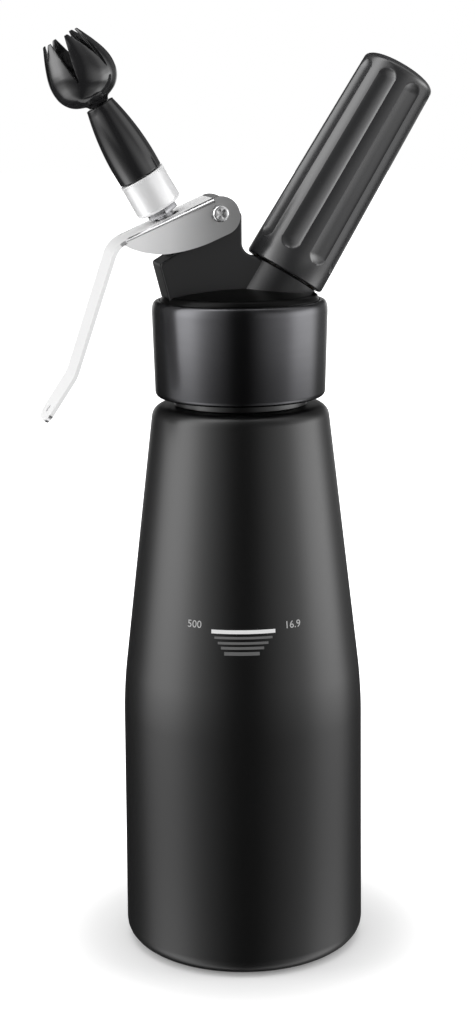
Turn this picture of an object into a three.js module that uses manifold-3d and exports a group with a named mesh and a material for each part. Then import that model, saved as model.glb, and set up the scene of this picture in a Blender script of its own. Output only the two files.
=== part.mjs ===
// Whipped cream dispenser with a half litre bottle, as an assembly of separate pieces.
// Millimetres, +Z up. The origin is the centre of the bottle's underside, +X points to the
// charger holder, -X to the lever and the nozzle, and -Y to the front.

import * as THREE from 'three';
import { mergeVertices } from 'three/addons/utils/BufferGeometryUtils.js';
import Module from 'manifold-3d';

const wasm = await Module();
wasm.setup();

// Counts and tolerances shared by every piece
const bottleSides = 36;
const collarSides = 36;
const bodySides = 24;
const smallSides = 16;
const arcSteps = 4;
const innerArcSteps = 3;
const threadStepsPerTurn = 20;
const fineThreadStepsPerTurn = 16;
const cornerSteps = 3;
const nutSides = 6;
const coilStepsPerTurn = 8;
const coilSides = 5;
const weldTolerance = 0.0001;
const cutOverrun = 2;
const fitGap = 0.3;

// Bottle, drawn from aluminium
const bottleRadius = 40;
const bottleCornerRadius = 6;
const bottleTopRadius = 39.5;
const bottleWall = 1.3;
const bottleFloor = 2.5;
const coneStartHeight = 87.2;
const coneBlendReach = 7;
const coneEndDrop = 6;
const coneEndRadius = 29;
const shoulderHeight = 182;
const shoulderRadius = 24.4;
const neckLength = 21;
const mouthBoreRadius = 19;
const mouthEdge = 0.6;

// Thread between the bottle and the head
const neckRootRadius = 21.2;
const neckThreadDepth = 1.2;
const neckPitch = 4;
const neckRidgeRootWidth = 2.2;
const neckRidgeCrestWidth = 0.8;
const neckThreadRise = 6;
const neckThreadTurns = 3;
const skirtThreadTurns = 2.75;
const threadSink = 0.4;
const threadRunOutShare = 0.08;
const threadPhaseShare = 0.31;
const threadFitGap = 0.35;

// Seal between the bottle and the head
const gasketThickness = 2.5;
const gasketOverhang = 0.35;

// Collar, a turned metal sleeve round the head's skirt
const collarStand = 2.6;
const collarLength = 29.4;
const collarTopRadius = 28.2;
const collarBottomRadius = 27.4;
const collarBoreRadius = 24.6;
const collarLipRise = 1.6;
const collarShoulderDrop = 3.2;
const collarShoulderInset = 0.7;
const collarShoulderHeight = 1.3;
const collarLipThickness = 0.6;
const collarBottomEdge = 2.2;

// Head, a plastic moulding
const skirtRecess = 0.8;
const flangeRadius = 25.5;
const flangeEdge = 1;
const flangeTopRadius = 24.2;
const flangeRise = 3.4;
const domeRise = 2.4;
const blockFootReach = 23.8;
const blockWidth = 14;
const blockEdge = 0.5;

// Valve axis, leaning to the left through a point on the bottle's axis
const valveTilt = THREE.MathUtils.degToRad(30.2);
const valveOriginDepth = 15.9;
const bossEnd = 36.5;
const bossLeftReach = 10.1;
const bossRightReach = 7.5;
const valveBoreRadius = 4.8;
const valveWebBottom = 14.6;
const valveWebThickness = 1.8;
const valveWebHoleRadius = 3.5;
const valveSeatBoreRadius = 5.2;
const valveSeatThickness = 2;

// Lever pivot, measured from the valve axis
const pivotReach = 14.1;
const pivotStation = 40.3;
const postTopRadius = 3.7;
const postRightReach = 7.5;
const saddleDrop = 12;
const saddleReach = 2.4;

// Charger axis, leaning to the right through a point on the bottle's axis
const chargerTilt = THREE.MathUtils.degToRad(31.5);
const chargerOriginDepth = 17.4;
const chargerBossRadius = 12;
const chargerBossStand = 0.4;
const chargerBossStart = 16.5;
const chargerSeat = 27.6;
const chargerNeckLength = 8.1;
const chargerNeckRootRadius = 9.5;
const chargerThreadDepth = 0.9;
const chargerPitch = 2.5;
const chargerThreadTurns = 1.9;
const fineRidgeRootWidth = 1.2;
const fineRidgeCrestWidth = 0.5;
const fineThreadLead = 2;
const chargerBoreRadius = 4.8;
const chargerBoreStart = 25.2;
const checkChamberRadius = 3.2;
const checkChamberStart = 18.5;
const gasPortRadius = 1.3;

// Valve stem and what rides on it
const stemEnd = 4.8;
const stemTop = 57.2;
const stemTipRadius = 1.6;
const stemWaistRadius = 2.4;
const stemBodyRadius = 3;
const stemBoreRadius = 1.4;
const stemBoreStart = 18.6;
const stemPortRadius = 1;
const stemPortStation = 20.4;
const stopShoulderStation = 30.2;
const stopShoulderThickness = 1.6;
const stopShoulderRadius = 4.4;
const pushShoulderStation = 42.2;
const pushShoulderThickness = 1.4;
const pushShoulderRadius = 4.6;
const thrustWasherThickness = 1.3;
const thrustWasherRadius = 5.6;
const thrustWasherCrown = 0.3;
const sealRadius = 4.4;
const sealLength = 3.8;
const sealEdge = 0.6;
const retainerLength = 2.5;
const retainerRadius = 3.4;
const lockNutStation = 48.4;
const lockNutThickness = 1.7;
const lockNutRadius = 5.4;

// Gland that closes the valve bore and guides the stem
const glandFlangeRadius = 6.3;
const glandFlangeThickness = 2;
const glandCounterboreRadius = 4.7;
const glandCounterboreDepth = 1.6;

// Return spring in the valve bore
const springWireRadius = 0.4;
const springCoilRadius = 4;
const springTurns = 6;

// Nozzle adapter
const adapterBottom = 50.4;
const adapterTop = 61.9;
const adapterRadius = 7.6;
const adapterTopRadius = 7.35;
const adapterBottomEdge = 1.5;
const adapterRimHeight = 0.9;
const adapterRimStand = 0.15;
const adapterSocketDepth = 7.1;
const adapterBoreRadius = 1.9;
const studLength = 8.1;
const studRootRadius = 3.8;
const studThreadDepth = 0.9;
const studPitch = 2.5;
const studThreadTurns = 2;

// Nozzle and its tulip crown
const nozzleBottom = 62.3;
const nozzleTop = 87.2;
const nozzleBaseRadius = 7.2;
const nozzleTopRadius = 4.65;
const nozzleBulge = 0.9;
const nozzleSocketDepth = 9.2;
const nozzleBoreRadius = 2.9;
const nozzleEdge = 0.5;
const nozzleSealThickness = 0.9;
const crownSpigotLength = 7;
const crownSpigotBore = 1.7;
const crownWaistRadius = 3.4;
const crownHeight = 23.1;
const crownRadius = 10.7;
const crownMouthRadius = 6;
const crownWall = 1.5;
const crownFloor = 3.2;
const petals = 6;
const petalSlotDepth = 13.8;
const petalSlotHalfWidth = 2.5;
const petalSlotRootHalfWidth = 0.2;
const petalTurn = THREE.MathUtils.degToRad(-79);
const crownLowerShares = [[0.039, 0.336], [0.074, 0.551], [0.117, 0.72], [0.186, 0.86], [0.281, 0.963]];
const crownUpperShares = [[0.403, 1], [0.511, 0.986], [0.628, 0.921], [0.775, 0.794]];

// Lever, stamped from stainless sheet: a top plate, two cheeks and a handle
const leverSlope = THREE.MathUtils.degToRad(23.6);
const leverWidth = 18;
const leverSheet = 1.2;
const plateLift = 5.2;
const plateOverhang = 1;
const plateLength = 29.5;
const handleBend = THREE.MathUtils.degToRad(47.4);
const handleBendRadius = 9;
const handleLength = 37.4;
const kickBend = THREE.MathUtils.degToRad(15);
const kickBendRadius = 12;
const kickLength = 15.5;
const handleTipHalfWidth = 8.2;
const handleTipCorner = 4;
const handleHoleRadius = 1.3;
const handleHoleInset = 4;
const cheekLength = 31.5;
const cheekDrop = 7.1;
const cheekEndRadius = 6.1;
const cheekEdgeShares = [[0.28, 0.97], [0.5, 0.81], [0.7, 0.54], [0.86, 0.1], [0.96, -0.3]];
const stemSlotHalfLength = 4.2;
const stemSlotHalfWidth = 3.5;
const stemSlotStation = 14.3;

// Pivot screw and nut
const pivotRadius = 1.5;
const pivotHeadRadius = 2.6;
const pivotHeadHeight = 1.5;
const pivotHeadEdge = 0.5;
const pivotRecessWidth = 0.8;
const pivotRecessDepth = 0.8;
const pivotRecessReach = 1.7;
const pivotNutRadius = 3;
const pivotNutHeight = 2.2;

// Piercing pin, its carrier, its seal and the check valve
const pinCarrierRadius = 4.5;
const pinCarrierLength = 5.3;
const pinPocketRadius = 2.9;
const pinPocketDepth = 2.3;
const pinGasHoleRadius = 0.9;
const pinBaseRadius = 2.6;
const pinBaseThickness = 1;
const pinRadius = 0.7;
const pinPointLength = 1.4;
const pinReach = 2.6;
const pinSealThickness = 1.9;
const pinSealRadius = 4.4;
const pinSealBore = 1.1;
const checkValveLength = 5.4;
const checkValveRadius = 2.9;
const checkValveLipRadius = 1.4;
const checkValveBore = 0.8;
const checkValveHeadLength = 1.3;

// Gas charger
const chargerLength = 65;
const chargerRadius = 9;
const chargerWall = 1.8;
const chargerTubeRadius = 4.25;
const chargerTubeLength = 9;
const chargerShoulderLength = 7.5;
const chargerDomeLength = 8;
const chargerTubeBore = 2.4;
const chargerCapThickness = 0.9;
const chargerPuncture = 1;

// Charger holder
const holderBottom = 28;
const holderBottomRadius = 13.6;
const holderTopRadius = 12.15;
const holderBottomEdge = 1;
const holderTopEdgeHeight = 2.4;
const holderTopEdgeWidth = 4.4;
const holderBoreRadius = 9.6;
const holderEndThickness = 2.6;
const insertRadius = 11.4;
const insertLength = 7.4;
const insertThreadTurns = 1.6;
const flutes = 8;
const fluteDepth = 1.05;
const fluteWidthShare = 0.62;
const fluteStart = 6.6;
const fluteEndInset = 3.6;
const fluteRunOut = 2.2;
const fluteTurn = THREE.MathUtils.degToRad(-118);
const flutePoints = 6;
const padRadius = 6;
const padThickness = 1.1;

// Heights that several pieces share, all counted from the bottle's shoulder
const coneEndHeight = shoulderHeight - coneEndDrop;
const mouthHeight = shoulderHeight + neckLength;
const neckThreadStart = shoulderHeight + neckThreadRise;
const collarBottom = shoulderHeight + collarStand;
const collarTop = collarBottom + collarLength;
const flangeTop = collarTop + flangeRise;
const domeHeight = flangeTop + domeRise;
const valveOriginHeight = flangeTop - valveOriginDepth;
const chargerOriginHeight = flangeTop - chargerOriginDepth;

// Finishes
const blackCoat = new THREE.MeshStandardMaterial({ color: 0x232325, roughness: 0.55, metalness: 0.1 });
const blackAnodised = new THREE.MeshStandardMaterial({ color: 0x1c1c1e, roughness: 0.3, metalness: 0.6 });
const blackMoulding = new THREE.MeshStandardMaterial({ color: 0x242425, roughness: 0.4, metalness: 0 });
const ribbedMoulding = new THREE.MeshStandardMaterial({ color: 0x3a3a3b, roughness: 0.5, metalness: 0 });
const glossMoulding = new THREE.MeshStandardMaterial({ color: 0x19191a, roughness: 0.2, metalness: 0 });
const polishedSteel = new THREE.MeshStandardMaterial({ color: 0xdcdcdc, roughness: 0.12, metalness: 1 });
const plainSteel = new THREE.MeshStandardMaterial({ color: 0xb4b4b6, roughness: 0.3, metalness: 1 });
const springSteel = new THREE.MeshStandardMaterial({ color: 0x9a9a9c, roughness: 0.35, metalness: 1 });
const brass = new THREE.MeshStandardMaterial({ color: 0xb89a55, roughness: 0.3, metalness: 1 });
const silicone = new THREE.MeshStandardMaterial({ color: 0xc9ccc9, roughness: 0.6, metalness: 0 });
const blackRubber = new THREE.MeshStandardMaterial({ color: 0x1a1a1a, roughness: 0.7, metalness: 0 });

// Every solid goes through here: one closed mesh with its faces pointing out
function solid(geometry) {
  const bare = geometry.index ? geometry.toNonIndexed() : geometry.clone();
  bare.deleteAttribute('normal');
  bare.deleteAttribute('uv');
  const welded = mergeVertices(bare, weldTolerance);
  const points = welded.attributes.position.array;
  const index = welded.index.array;
  const kept = [];
  let volume = 0;
  for (let i = 0; i < index.length; i += 3) {
    const [a, b, c] = [index[i], index[i + 1], index[i + 2]];
    if (a !== b && b !== c && c !== a) {
      kept.push(a, b, c);
      volume += signedVolume(points, a, b, c);
    }
  }
  const triVerts = new Uint32Array(volume < 0 ? kept.reverse() : kept);
  const vertProperties = new Float32Array(points);
  return new wasm.Manifold(new wasm.Mesh({ numProp: 3, vertProperties, triVerts }));
}

function signedVolume(points, a, b, c) {
  const [p, q, r] = [a, b, c].map((i) => new THREE.Vector3().fromArray(points, 3 * i));
  return p.dot(q.cross(r));
}

function geometryOf(body) {
  const mesh = body.getMesh();
  const geometry = new THREE.BufferGeometry();
  geometry.setAttribute('position', new THREE.Float32BufferAttribute(mesh.vertProperties, 3));
  geometry.setIndex(new THREE.BufferAttribute(new Uint32Array(mesh.triVerts), 1));
  geometry.computeVertexNormals();
  return geometry;
}

function join(bodies) {
  return bodies.reduce((sum, body) => sum.add(body));
}

function cut(body, tools) {
  return tools.reduce((rest, tool) => rest.subtract(tool), body);
}

// A turned shape: the outline holds [radius, height] and is closed if it isn't on the axis
function turnedGeometry(outline, sides) {
  const [first, last] = [outline[0], outline[outline.length - 1]];
  const onAxis = first[0] === 0 && last[0] === 0;
  const closed = onAxis ? outline : [...outline, first];
  const points = closed.map(([radius, height]) => new THREE.Vector2(radius, height));
  return new THREE.LatheGeometry(points, sides).rotateX(Math.PI / 2);
}

function turned(outline, sides) {
  return solid(turnedGeometry(outline, sides));
}

function rodGeometry(radius, bottom, top, sides) {
  return turnedGeometry([[0, bottom], [radius, bottom], [radius, top], [0, top]], sides);
}

function rod(radius, bottom, top, sides) {
  return solid(rodGeometry(radius, bottom, top, sides));
}

function ring(inner, outer, bottom, top, sides) {
  return turned([[inner, bottom], [outer, bottom], [outer, top], [inner, top]], sides);
}

// A flat outline of [x, z] points, extruded evenly to both sides of the XZ plane
function platedGeometry(outline, width, edge = 0) {
  const shape = new THREE.Shape(outline.map(([x, z]) => new THREE.Vector2(x, z)));
  const options = {
    depth: width - 2 * edge,
    bevelEnabled: edge > 0,
    bevelThickness: edge,
    bevelSize: edge,
    bevelOffset: -edge,
    bevelSegments: 1,
  };
  const plate = new THREE.ExtrudeGeometry(shape, options);
  return plate.translate(0, 0, edge - width / 2).rotateX(Math.PI / 2);
}

function plated(outline, width, edge = 0) {
  return solid(platedGeometry(outline, width, edge));
}

function arc(centreX, centreY, radius, from, to, steps = arcSteps) {
  return Array.from({ length: steps + 1 }, (_, i) => {
    const angle = from + ((to - from) * i) / steps;
    return [centreX + radius * Math.cos(angle), centreY + radius * Math.sin(angle)];
  });
}

function curve(start, control, end, steps = arcSteps) {
  const corners = [start, control, end].map(([x, y]) => new THREE.Vector2(x, y));
  const path = new THREE.QuadraticBezierCurve(...corners);
  return path.getPoints(steps).map((point) => [point.x, point.y]);
}

function polar(radius, angle, height) {
  return new THREE.Vector3(radius * Math.cos(angle), radius * Math.sin(angle), height);
}

// A solid strip of sections, each a list of points, closed at both ends
function lofted(sections) {
  const count = sections[0].length;
  const positions = sections.flat().flatMap((point) => [point.x, point.y, point.z]);
  const index = [];
  for (let i = 0; i + 1 < sections.length; i += 1) {
    for (let j = 0; j < count; j += 1) {
      const [a, b] = [i * count + j, i * count + ((j + 1) % count)];
      index.push(a, b, b + count, a, b + count, a + count);
    }
  }
  for (const [base, flip] of [[0, true], [(sections.length - 1) * count, false]]) {
    for (let j = 1; j + 1 < count; j += 1) {
      index.push(base, ...(flip ? [base + j + 1, base + j] : [base + j, base + j + 1]));
    }
  }
  const geometry = new THREE.BufferGeometry();
  geometry.setAttribute('position', new THREE.Float32BufferAttribute(positions, 3));
  geometry.setIndex(index);
  return geometry;
}

// A screw thread's ridge on a wall of radius root, standing out or in to radius crest
function threadRidge(thread) {
  const { root, crest, rootWidth, crestWidth, pitch, start, turns, turnOffset = 0, stepsPerTurn } = thread;
  const steps = Math.round(turns * stepsPerTurn);
  const foot = root - Math.sign(crest - root) * threadSink;
  const sections = [];
  for (let i = 0; i <= steps; i += 1) {
    const share = i / steps;
    const run = Math.min(1, share / threadRunOutShare, (1 - share) / threadRunOutShare);
    const rise = (crest - foot) * Math.sin((run * Math.PI) / 2);
    const top = foot + rise + ((1 - run) * (foot - root)) / 2;
    const angle = 2 * Math.PI * (turnOffset + threadPhaseShare / (2 * stepsPerTurn) + share * turns);
    const height = start + pitch * share * turns;
    const corners = [
      [foot, -rootWidth / 2],
      [top, -crestWidth / 2],
      [top, crestWidth / 2],
      [foot, rootWidth / 2],
    ];
    sections.push(corners.map(([radius, lift]) => polar(radius, angle, height + lift)));
  }
  return solid(lofted(sections));
}

// Frames that lean with the valve, the charger and the lever
const dispenser = new THREE.Group();
dispenser.name = 'whipped_cream_dispenser';
const valveGroup = new THREE.Group();
valveGroup.position.set(0, 0, valveOriginHeight);
valveGroup.rotation.y = -valveTilt;
const chargerGroup = new THREE.Group();
chargerGroup.position.set(0, 0, chargerOriginHeight);
chargerGroup.rotation.y = chargerTilt;
const pivot = new THREE.Vector3(pivotReach, 0, pivotStation);
pivot.applyEuler(valveGroup.rotation).add(valveGroup.position);
const leverGroup = new THREE.Group();
leverGroup.position.copy(pivot);
leverGroup.rotation.y = -leverSlope;
const pivotGroup = new THREE.Group();
pivotGroup.position.copy(pivot);
dispenser.add(valveGroup, chargerGroup, leverGroup, pivotGroup);
dispenser.updateMatrixWorld(true);

function addPart(name, body, material, group = dispenser) {
  const mesh = new THREE.Mesh(geometryOf(body), material);
  mesh.name = name;
  group.add(mesh);
}

function inFrame(geometry, group) {
  return solid(geometry.applyMatrix4(group.matrixWorld));
}

function pointIn(group, x, z) {
  const point = new THREE.Vector3(x, 0, z).applyMatrix4(group.matrixWorld);
  return [point.x, point.z];
}

function stationHeight(group, station) {
  return pointIn(group, 0, station)[1];
}

// Heights round the bottle's mouth and the head's skirt
const gasketBottom = mouthHeight + fitGap;
const gasketTop = gasketBottom + gasketThickness;
const headUnderside = gasketTop + fitGap;
const neckCrestRadius = neckRootRadius + neckThreadDepth;
const skirtBoreRadius = neckCrestRadius + threadFitGap;
const skirtCrestRadius = neckRootRadius + threadFitGap;
const skirtRadius = collarBoreRadius - fitGap;
const skirtBottom = collarBottom + skirtRecess;

function bottleShell() {
  const coneSlope = (coneEndRadius - bottleTopRadius) / (coneEndHeight - coneStartHeight);
  const blendEnd = [bottleTopRadius + coneSlope * coneBlendReach, coneStartHeight + coneBlendReach];
  const blend = (wall, steps) => curve(
    [bottleTopRadius - wall, coneStartHeight - coneBlendReach],
    [bottleTopRadius - wall, coneStartHeight],
    [blendEnd[0] - wall, blendEnd[1]],
    steps,
  );
  const shoulderCorner = [coneEndRadius + coneSlope * (shoulderHeight - coneEndHeight), shoulderHeight];
  const coneEnd = [coneEndRadius, coneEndHeight];
  const shoulder = curve(coneEnd, shoulderCorner, [shoulderRadius, shoulderHeight]);
  const innerShoulderCorner = [shoulderCorner[0] - bottleWall, shoulderHeight - bottleWall];
  const innerShoulder = curve(
    [coneEndRadius - bottleWall, coneEndHeight - bottleWall],
    innerShoulderCorner,
    [mouthBoreRadius, shoulderHeight - bottleWall],
    innerArcSteps,
  );
  const cornerCentre = bottleRadius - bottleCornerRadius;
  const outer = [
    [0, 0],
    ...arc(cornerCentre, bottleCornerRadius, bottleCornerRadius, -Math.PI / 2, 0),
    ...blend(0, arcSteps),
    ...shoulder,
    [neckRootRadius, shoulderHeight],
    [neckRootRadius, mouthHeight - mouthEdge],
    [neckRootRadius - mouthEdge, mouthHeight],
  ];
  const innerCorner = bottleCornerRadius - bottleWall;
  const inner = [
    [mouthBoreRadius, mouthHeight],
    ...innerShoulder.reverse(),
    ...blend(bottleWall, innerArcSteps).reverse(),
    ...arc(cornerCentre, bottleFloor + innerCorner, innerCorner, 0, -Math.PI / 2, innerArcSteps),
    [0, bottleFloor],
  ];
  const thread = threadRidge({
    root: neckRootRadius,
    crest: neckCrestRadius,
    rootWidth: neckRidgeRootWidth,
    crestWidth: neckRidgeCrestWidth,
    pitch: neckPitch,
    start: neckThreadStart,
    turns: neckThreadTurns,
    stepsPerTurn: threadStepsPerTurn,
  });
  return turned([...outer, ...inner], bottleSides).add(thread);
}

function headGasket() {
  return ring(mouthBoreRadius - gasketOverhang, neckCrestRadius, gasketBottom, gasketTop, collarSides);
}

function collarSleeve() {
  const lipBore = flangeRadius + fitGap;
  const lipTop = collarTop + collarLipRise;
  return turned([
    [collarBoreRadius, collarBottom],
    [collarBottomRadius - collarBottomEdge, collarBottom],
    [collarBottomRadius, collarBottom + collarBottomEdge],
    [collarTopRadius, lipTop - collarShoulderDrop],
    [collarTopRadius - collarShoulderInset, lipTop - collarShoulderHeight],
    [lipBore + collarLipThickness, lipTop],
    [lipBore, lipTop],
    [lipBore, collarTop],
    [collarBoreRadius, collarTop],
  ], collarSides);
}

function headBlockOutline() {
  const sink = collarTop + flangeEdge;
  const pivotPoint = [pivot.x, pivot.z];
  const saddle = pivot.z - saddleDrop;
  const postRight = pivot.x + postRightReach;
  const saddleEnd = [postRight + saddleReach, saddle - saddleReach / 2];
  return [
    [-blockFootReach, sink],
    pointIn(valveGroup, -bossLeftReach, bossEnd),
    pointIn(valveGroup, bossRightReach, bossEnd),
    ...arc(...pivotPoint, postTopRadius, Math.PI + leverSlope, Math.PI / 2),
    [postRight, pivot.z],
    ...curve([postRight, saddle + saddleReach], [postRight, saddle], saddleEnd, cornerSteps),
    pointIn(chargerGroup, chargerBossStand - chargerBossRadius, chargerSeat - chargerBossStand),
    pointIn(chargerGroup, chargerBossRadius - chargerBossStand, chargerSeat - chargerBossStand),
    [blockFootReach, sink],
  ];
}

function headBody() {
  const domeStart = [flangeTopRadius - flangeEdge, flangeTop + flangeEdge / 2];
  const flange = turned([
    [0, headUnderside],
    [skirtBoreRadius, headUnderside],
    [skirtBoreRadius, skirtBottom],
    [skirtRadius, skirtBottom],
    [skirtRadius, collarTop + fitGap],
    [flangeRadius, collarTop + fitGap],
    [flangeRadius, collarTop + fitGap + flangeEdge],
    [flangeTopRadius, flangeTop],
    ...curve(domeStart, [flangeRadius / 2, domeHeight], [0, domeHeight]),
  ], collarSides);
  const skirtThread = threadRidge({
    root: skirtBoreRadius,
    crest: skirtCrestRadius,
    rootWidth: neckRidgeRootWidth,
    crestWidth: neckRidgeCrestWidth,
    pitch: neckPitch,
    start: neckThreadStart - neckPitch / 4,
    turns: skirtThreadTurns,
    turnOffset: 1 / 4,
    stepsPerTurn: threadStepsPerTurn,
  });
  const block = plated(headBlockOutline(), blockWidth, blockEdge);
  const boss = rodGeometry(chargerBossRadius, chargerBossStart, chargerSeat, bodySides);
  const neckTop = chargerSeat + chargerNeckLength;
  const neck = rodGeometry(chargerNeckRootRadius, chargerBossStart, neckTop, bodySides);
  const neckThread = threadRidge({
    root: chargerNeckRootRadius,
    crest: chargerNeckRootRadius + chargerThreadDepth,
    rootWidth: fineRidgeRootWidth,
    crestWidth: fineRidgeCrestWidth,
    pitch: chargerPitch,
    start: chargerSeat + fineThreadLead,
    turns: chargerThreadTurns,
    stepsPerTurn: fineThreadStepsPerTurn,
  });
  const chargerSide = [boss, neck, geometryOf(neckThread)];
  const placed = chargerSide.map((geometry) => inFrame(geometry, chargerGroup));
  const body = join([flange, skirtThread, block, ...placed]);
  const webTop = valveWebBottom + valveWebThickness;
  const portTop = stationHeight(chargerGroup, checkChamberStart) + gasPortRadius;
  const port = rodGeometry(gasPortRadius, headUnderside - cutOverrun, portTop, smallSides);
  port.translate(pointIn(chargerGroup, 0, checkChamberStart)[0], 0, 0);
  const pivotHole = rodGeometry(pivotRadius + fitGap, -blockWidth, blockWidth, smallSides);
  const valveBore = turnedGeometry([
    [0, 0],
    [valveSeatBoreRadius, 0],
    [valveSeatBoreRadius, valveWebBottom],
    [valveWebHoleRadius, valveWebBottom],
    [valveWebHoleRadius, webTop],
    [valveBoreRadius, webTop],
    [valveBoreRadius, bossEnd + cutOverrun],
    [0, bossEnd + cutOverrun],
  ], bodySides);
  const chargerBore = turnedGeometry([
    [0, checkChamberStart],
    [checkChamberRadius, checkChamberStart],
    [checkChamberRadius, chargerBoreStart],
    [chargerBoreRadius, chargerBoreStart],
    [chargerBoreRadius, neckTop + cutOverrun],
    [0, neckTop + cutOverrun],
  ], smallSides);
  return cut(body, [
    inFrame(valveBore, valveGroup),
    inFrame(chargerBore, chargerGroup),
    solid(port),
    inFrame(pivotHole.rotateX(Math.PI / 2), pivotGroup),
  ]);
}

// Valve: seat, spring, gland, stem, seal and washers, all along the valve axis
const travelGap = fitGap;
const seatTop = valveWebBottom - fitGap;
const seatBottom = seatTop - valveSeatThickness;
const sealTop = seatBottom - fitGap;
const glandBottom = stopShoulderStation + stopShoulderThickness + travelGap;
const glandTop = bossEnd + fitGap + glandFlangeThickness;
const thrustBottom = pushShoulderStation + pushShoulderThickness + fitGap;

function valveSeat() {
  return ring(valveWebHoleRadius, valveSeatBoreRadius - fitGap, seatBottom, seatTop, smallSides);
}

function valveGland() {
  const bore = stemBodyRadius + fitGap;
  return turned([
    [bore, glandBottom],
    [valveBoreRadius - fitGap, glandBottom],
    [valveBoreRadius - fitGap, bossEnd + fitGap],
    [glandFlangeRadius, bossEnd + fitGap],
    [glandFlangeRadius, glandTop],
    [glandCounterboreRadius, glandTop],
    [glandCounterboreRadius, glandTop - glandCounterboreDepth],
    [bore, glandTop - glandCounterboreDepth],
  ], smallSides);
}

function stemRing() {
  const top = glandTop - fitGap;
  const bottom = glandTop - glandCounterboreDepth + fitGap;
  return ring(stemBodyRadius + fitGap, glandCounterboreRadius - fitGap, bottom, top, smallSides);
}

function valveStem() {
  const body = turned([
    [0, stemEnd],
    [stemTipRadius, stemEnd],
    [stemTipRadius, sealTop + fitGap],
    [stemWaistRadius, sealTop + fitGap],
    [stemWaistRadius, stopShoulderStation],
    [stopShoulderRadius, stopShoulderStation],
    [stopShoulderRadius, stopShoulderStation + stopShoulderThickness],
    [stemBodyRadius, stopShoulderStation + stopShoulderThickness],
    [stemBodyRadius, pushShoulderStation],
    [pushShoulderRadius, pushShoulderStation],
    [pushShoulderRadius, pushShoulderStation + pushShoulderThickness],
    [stemBodyRadius, pushShoulderStation + pushShoulderThickness],
    [stemBodyRadius, stemTop],
    [stemBoreRadius, stemTop],
    [stemBoreRadius, stemBoreStart],
    [0, stemBoreStart],
  ], smallSides);
  const port = rodGeometry(stemPortRadius, -stopShoulderRadius, stopShoulderRadius, smallSides);
  const acrossY = solid(port.clone().rotateX(Math.PI / 2).translate(0, 0, stemPortStation));
  const acrossX = solid(port.rotateY(Math.PI / 2).translate(0, 0, stemPortStation));
  return cut(body, [acrossX, acrossY]);
}

function stemSeal() {
  return turned([
    [stemTipRadius + fitGap, sealTop - sealLength],
    [sealRadius, sealTop - sealLength],
    [sealRadius, sealTop - sealEdge],
    [sealRadius - sealEdge, sealTop],
    [stemTipRadius + fitGap, sealTop],
  ], smallSides);
}

function hexNut(bore, radius, bottom, top) {
  const hole = rod(bore, bottom - cutOverrun, top + cutOverrun, smallSides);
  return cut(rod(radius, bottom, top, nutSides), [hole]);
}

function thrustWasher() {
  const top = thrustBottom + thrustWasherThickness;
  return turned([
    [stemBodyRadius + fitGap, thrustBottom],
    [thrustWasherRadius, thrustBottom],
    [thrustWasherRadius, top - thrustWasherCrown],
    [(stemBodyRadius + thrustWasherRadius) / 2, top],
    [stemBodyRadius + fitGap, top],
  ], smallSides);
}

// The least gap between two turns of the spring, measured between its points
function coilGap(rings) {
  const centres = rings.map((points) => {
    return points.reduce((sum, point) => sum.add(point), new THREE.Vector3()).divideScalar(coilSides);
  });
  let least = Infinity;
  for (let i = 0; i < centres.length; i += 1) {
    for (let j = i + Math.ceil(coilStepsPerTurn / 2); j < centres.length; j += 1) {
      least = Math.min(least, centres[i].distanceTo(centres[j]) - 2 * springWireRadius);
    }
  }
  return least;
}

function valveSpring() {
  const bottom = valveWebBottom + valveWebThickness + fitGap + springWireRadius;
  const top = stopShoulderStation - fitGap - springWireRadius;
  const steps = springTurns * coilStepsPerTurn;
  const rings = [];
  for (let i = 0; i <= steps; i += 1) {
    const angle = (2 * Math.PI * i) / coilStepsPerTurn;
    const height = bottom + ((top - bottom) * i) / steps;
    const section = [];
    for (let j = 0; j < coilSides; j += 1) {
      const around = (2 * Math.PI * j) / coilSides;
      const radius = springCoilRadius + springWireRadius * Math.cos(around);
      section.push(polar(radius, angle, height + springWireRadius * Math.sin(around)));
    }
    rings.push(section);
  }
  console.log('valve_spring least gap to itself', coilGap(rings).toFixed(2), 'mm');
  return solid(lofted(rings));
}

// Nozzle adapter, nozzle and tulip crown
function nozzleAdapter() {
  const studTop = adapterTop + studLength;
  const rimBottom = adapterTop - adapterRimHeight;
  const body = turned([
    [stemBodyRadius + fitGap, adapterBottom],
    [adapterRadius - adapterBottomEdge, adapterBottom],
    [adapterRadius, adapterBottom + adapterBottomEdge],
    [adapterTopRadius, rimBottom],
    [adapterTopRadius + adapterRimStand, rimBottom],
    [adapterTopRadius + adapterRimStand, adapterTop],
    [studRootRadius, adapterTop],
    [studRootRadius, studTop],
    [adapterBoreRadius, studTop],
    [adapterBoreRadius, adapterBottom + adapterSocketDepth],
    [stemBodyRadius + fitGap, adapterBottom + adapterSocketDepth],
  ], bodySides);
  return body.add(threadRidge({
    root: studRootRadius,
    crest: studRootRadius + studThreadDepth,
    rootWidth: fineRidgeRootWidth,
    crestWidth: fineRidgeCrestWidth,
    pitch: studPitch,
    start: adapterTop + fineThreadLead,
    turns: studThreadTurns,
    stepsPerTurn: fineThreadStepsPerTurn,
  }));
}

const studCrestRadius = studRootRadius + studThreadDepth;
const nozzleSocketRadius = studCrestRadius + fitGap;
const nozzleSocketTop = nozzleBottom + nozzleSocketDepth;

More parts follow.
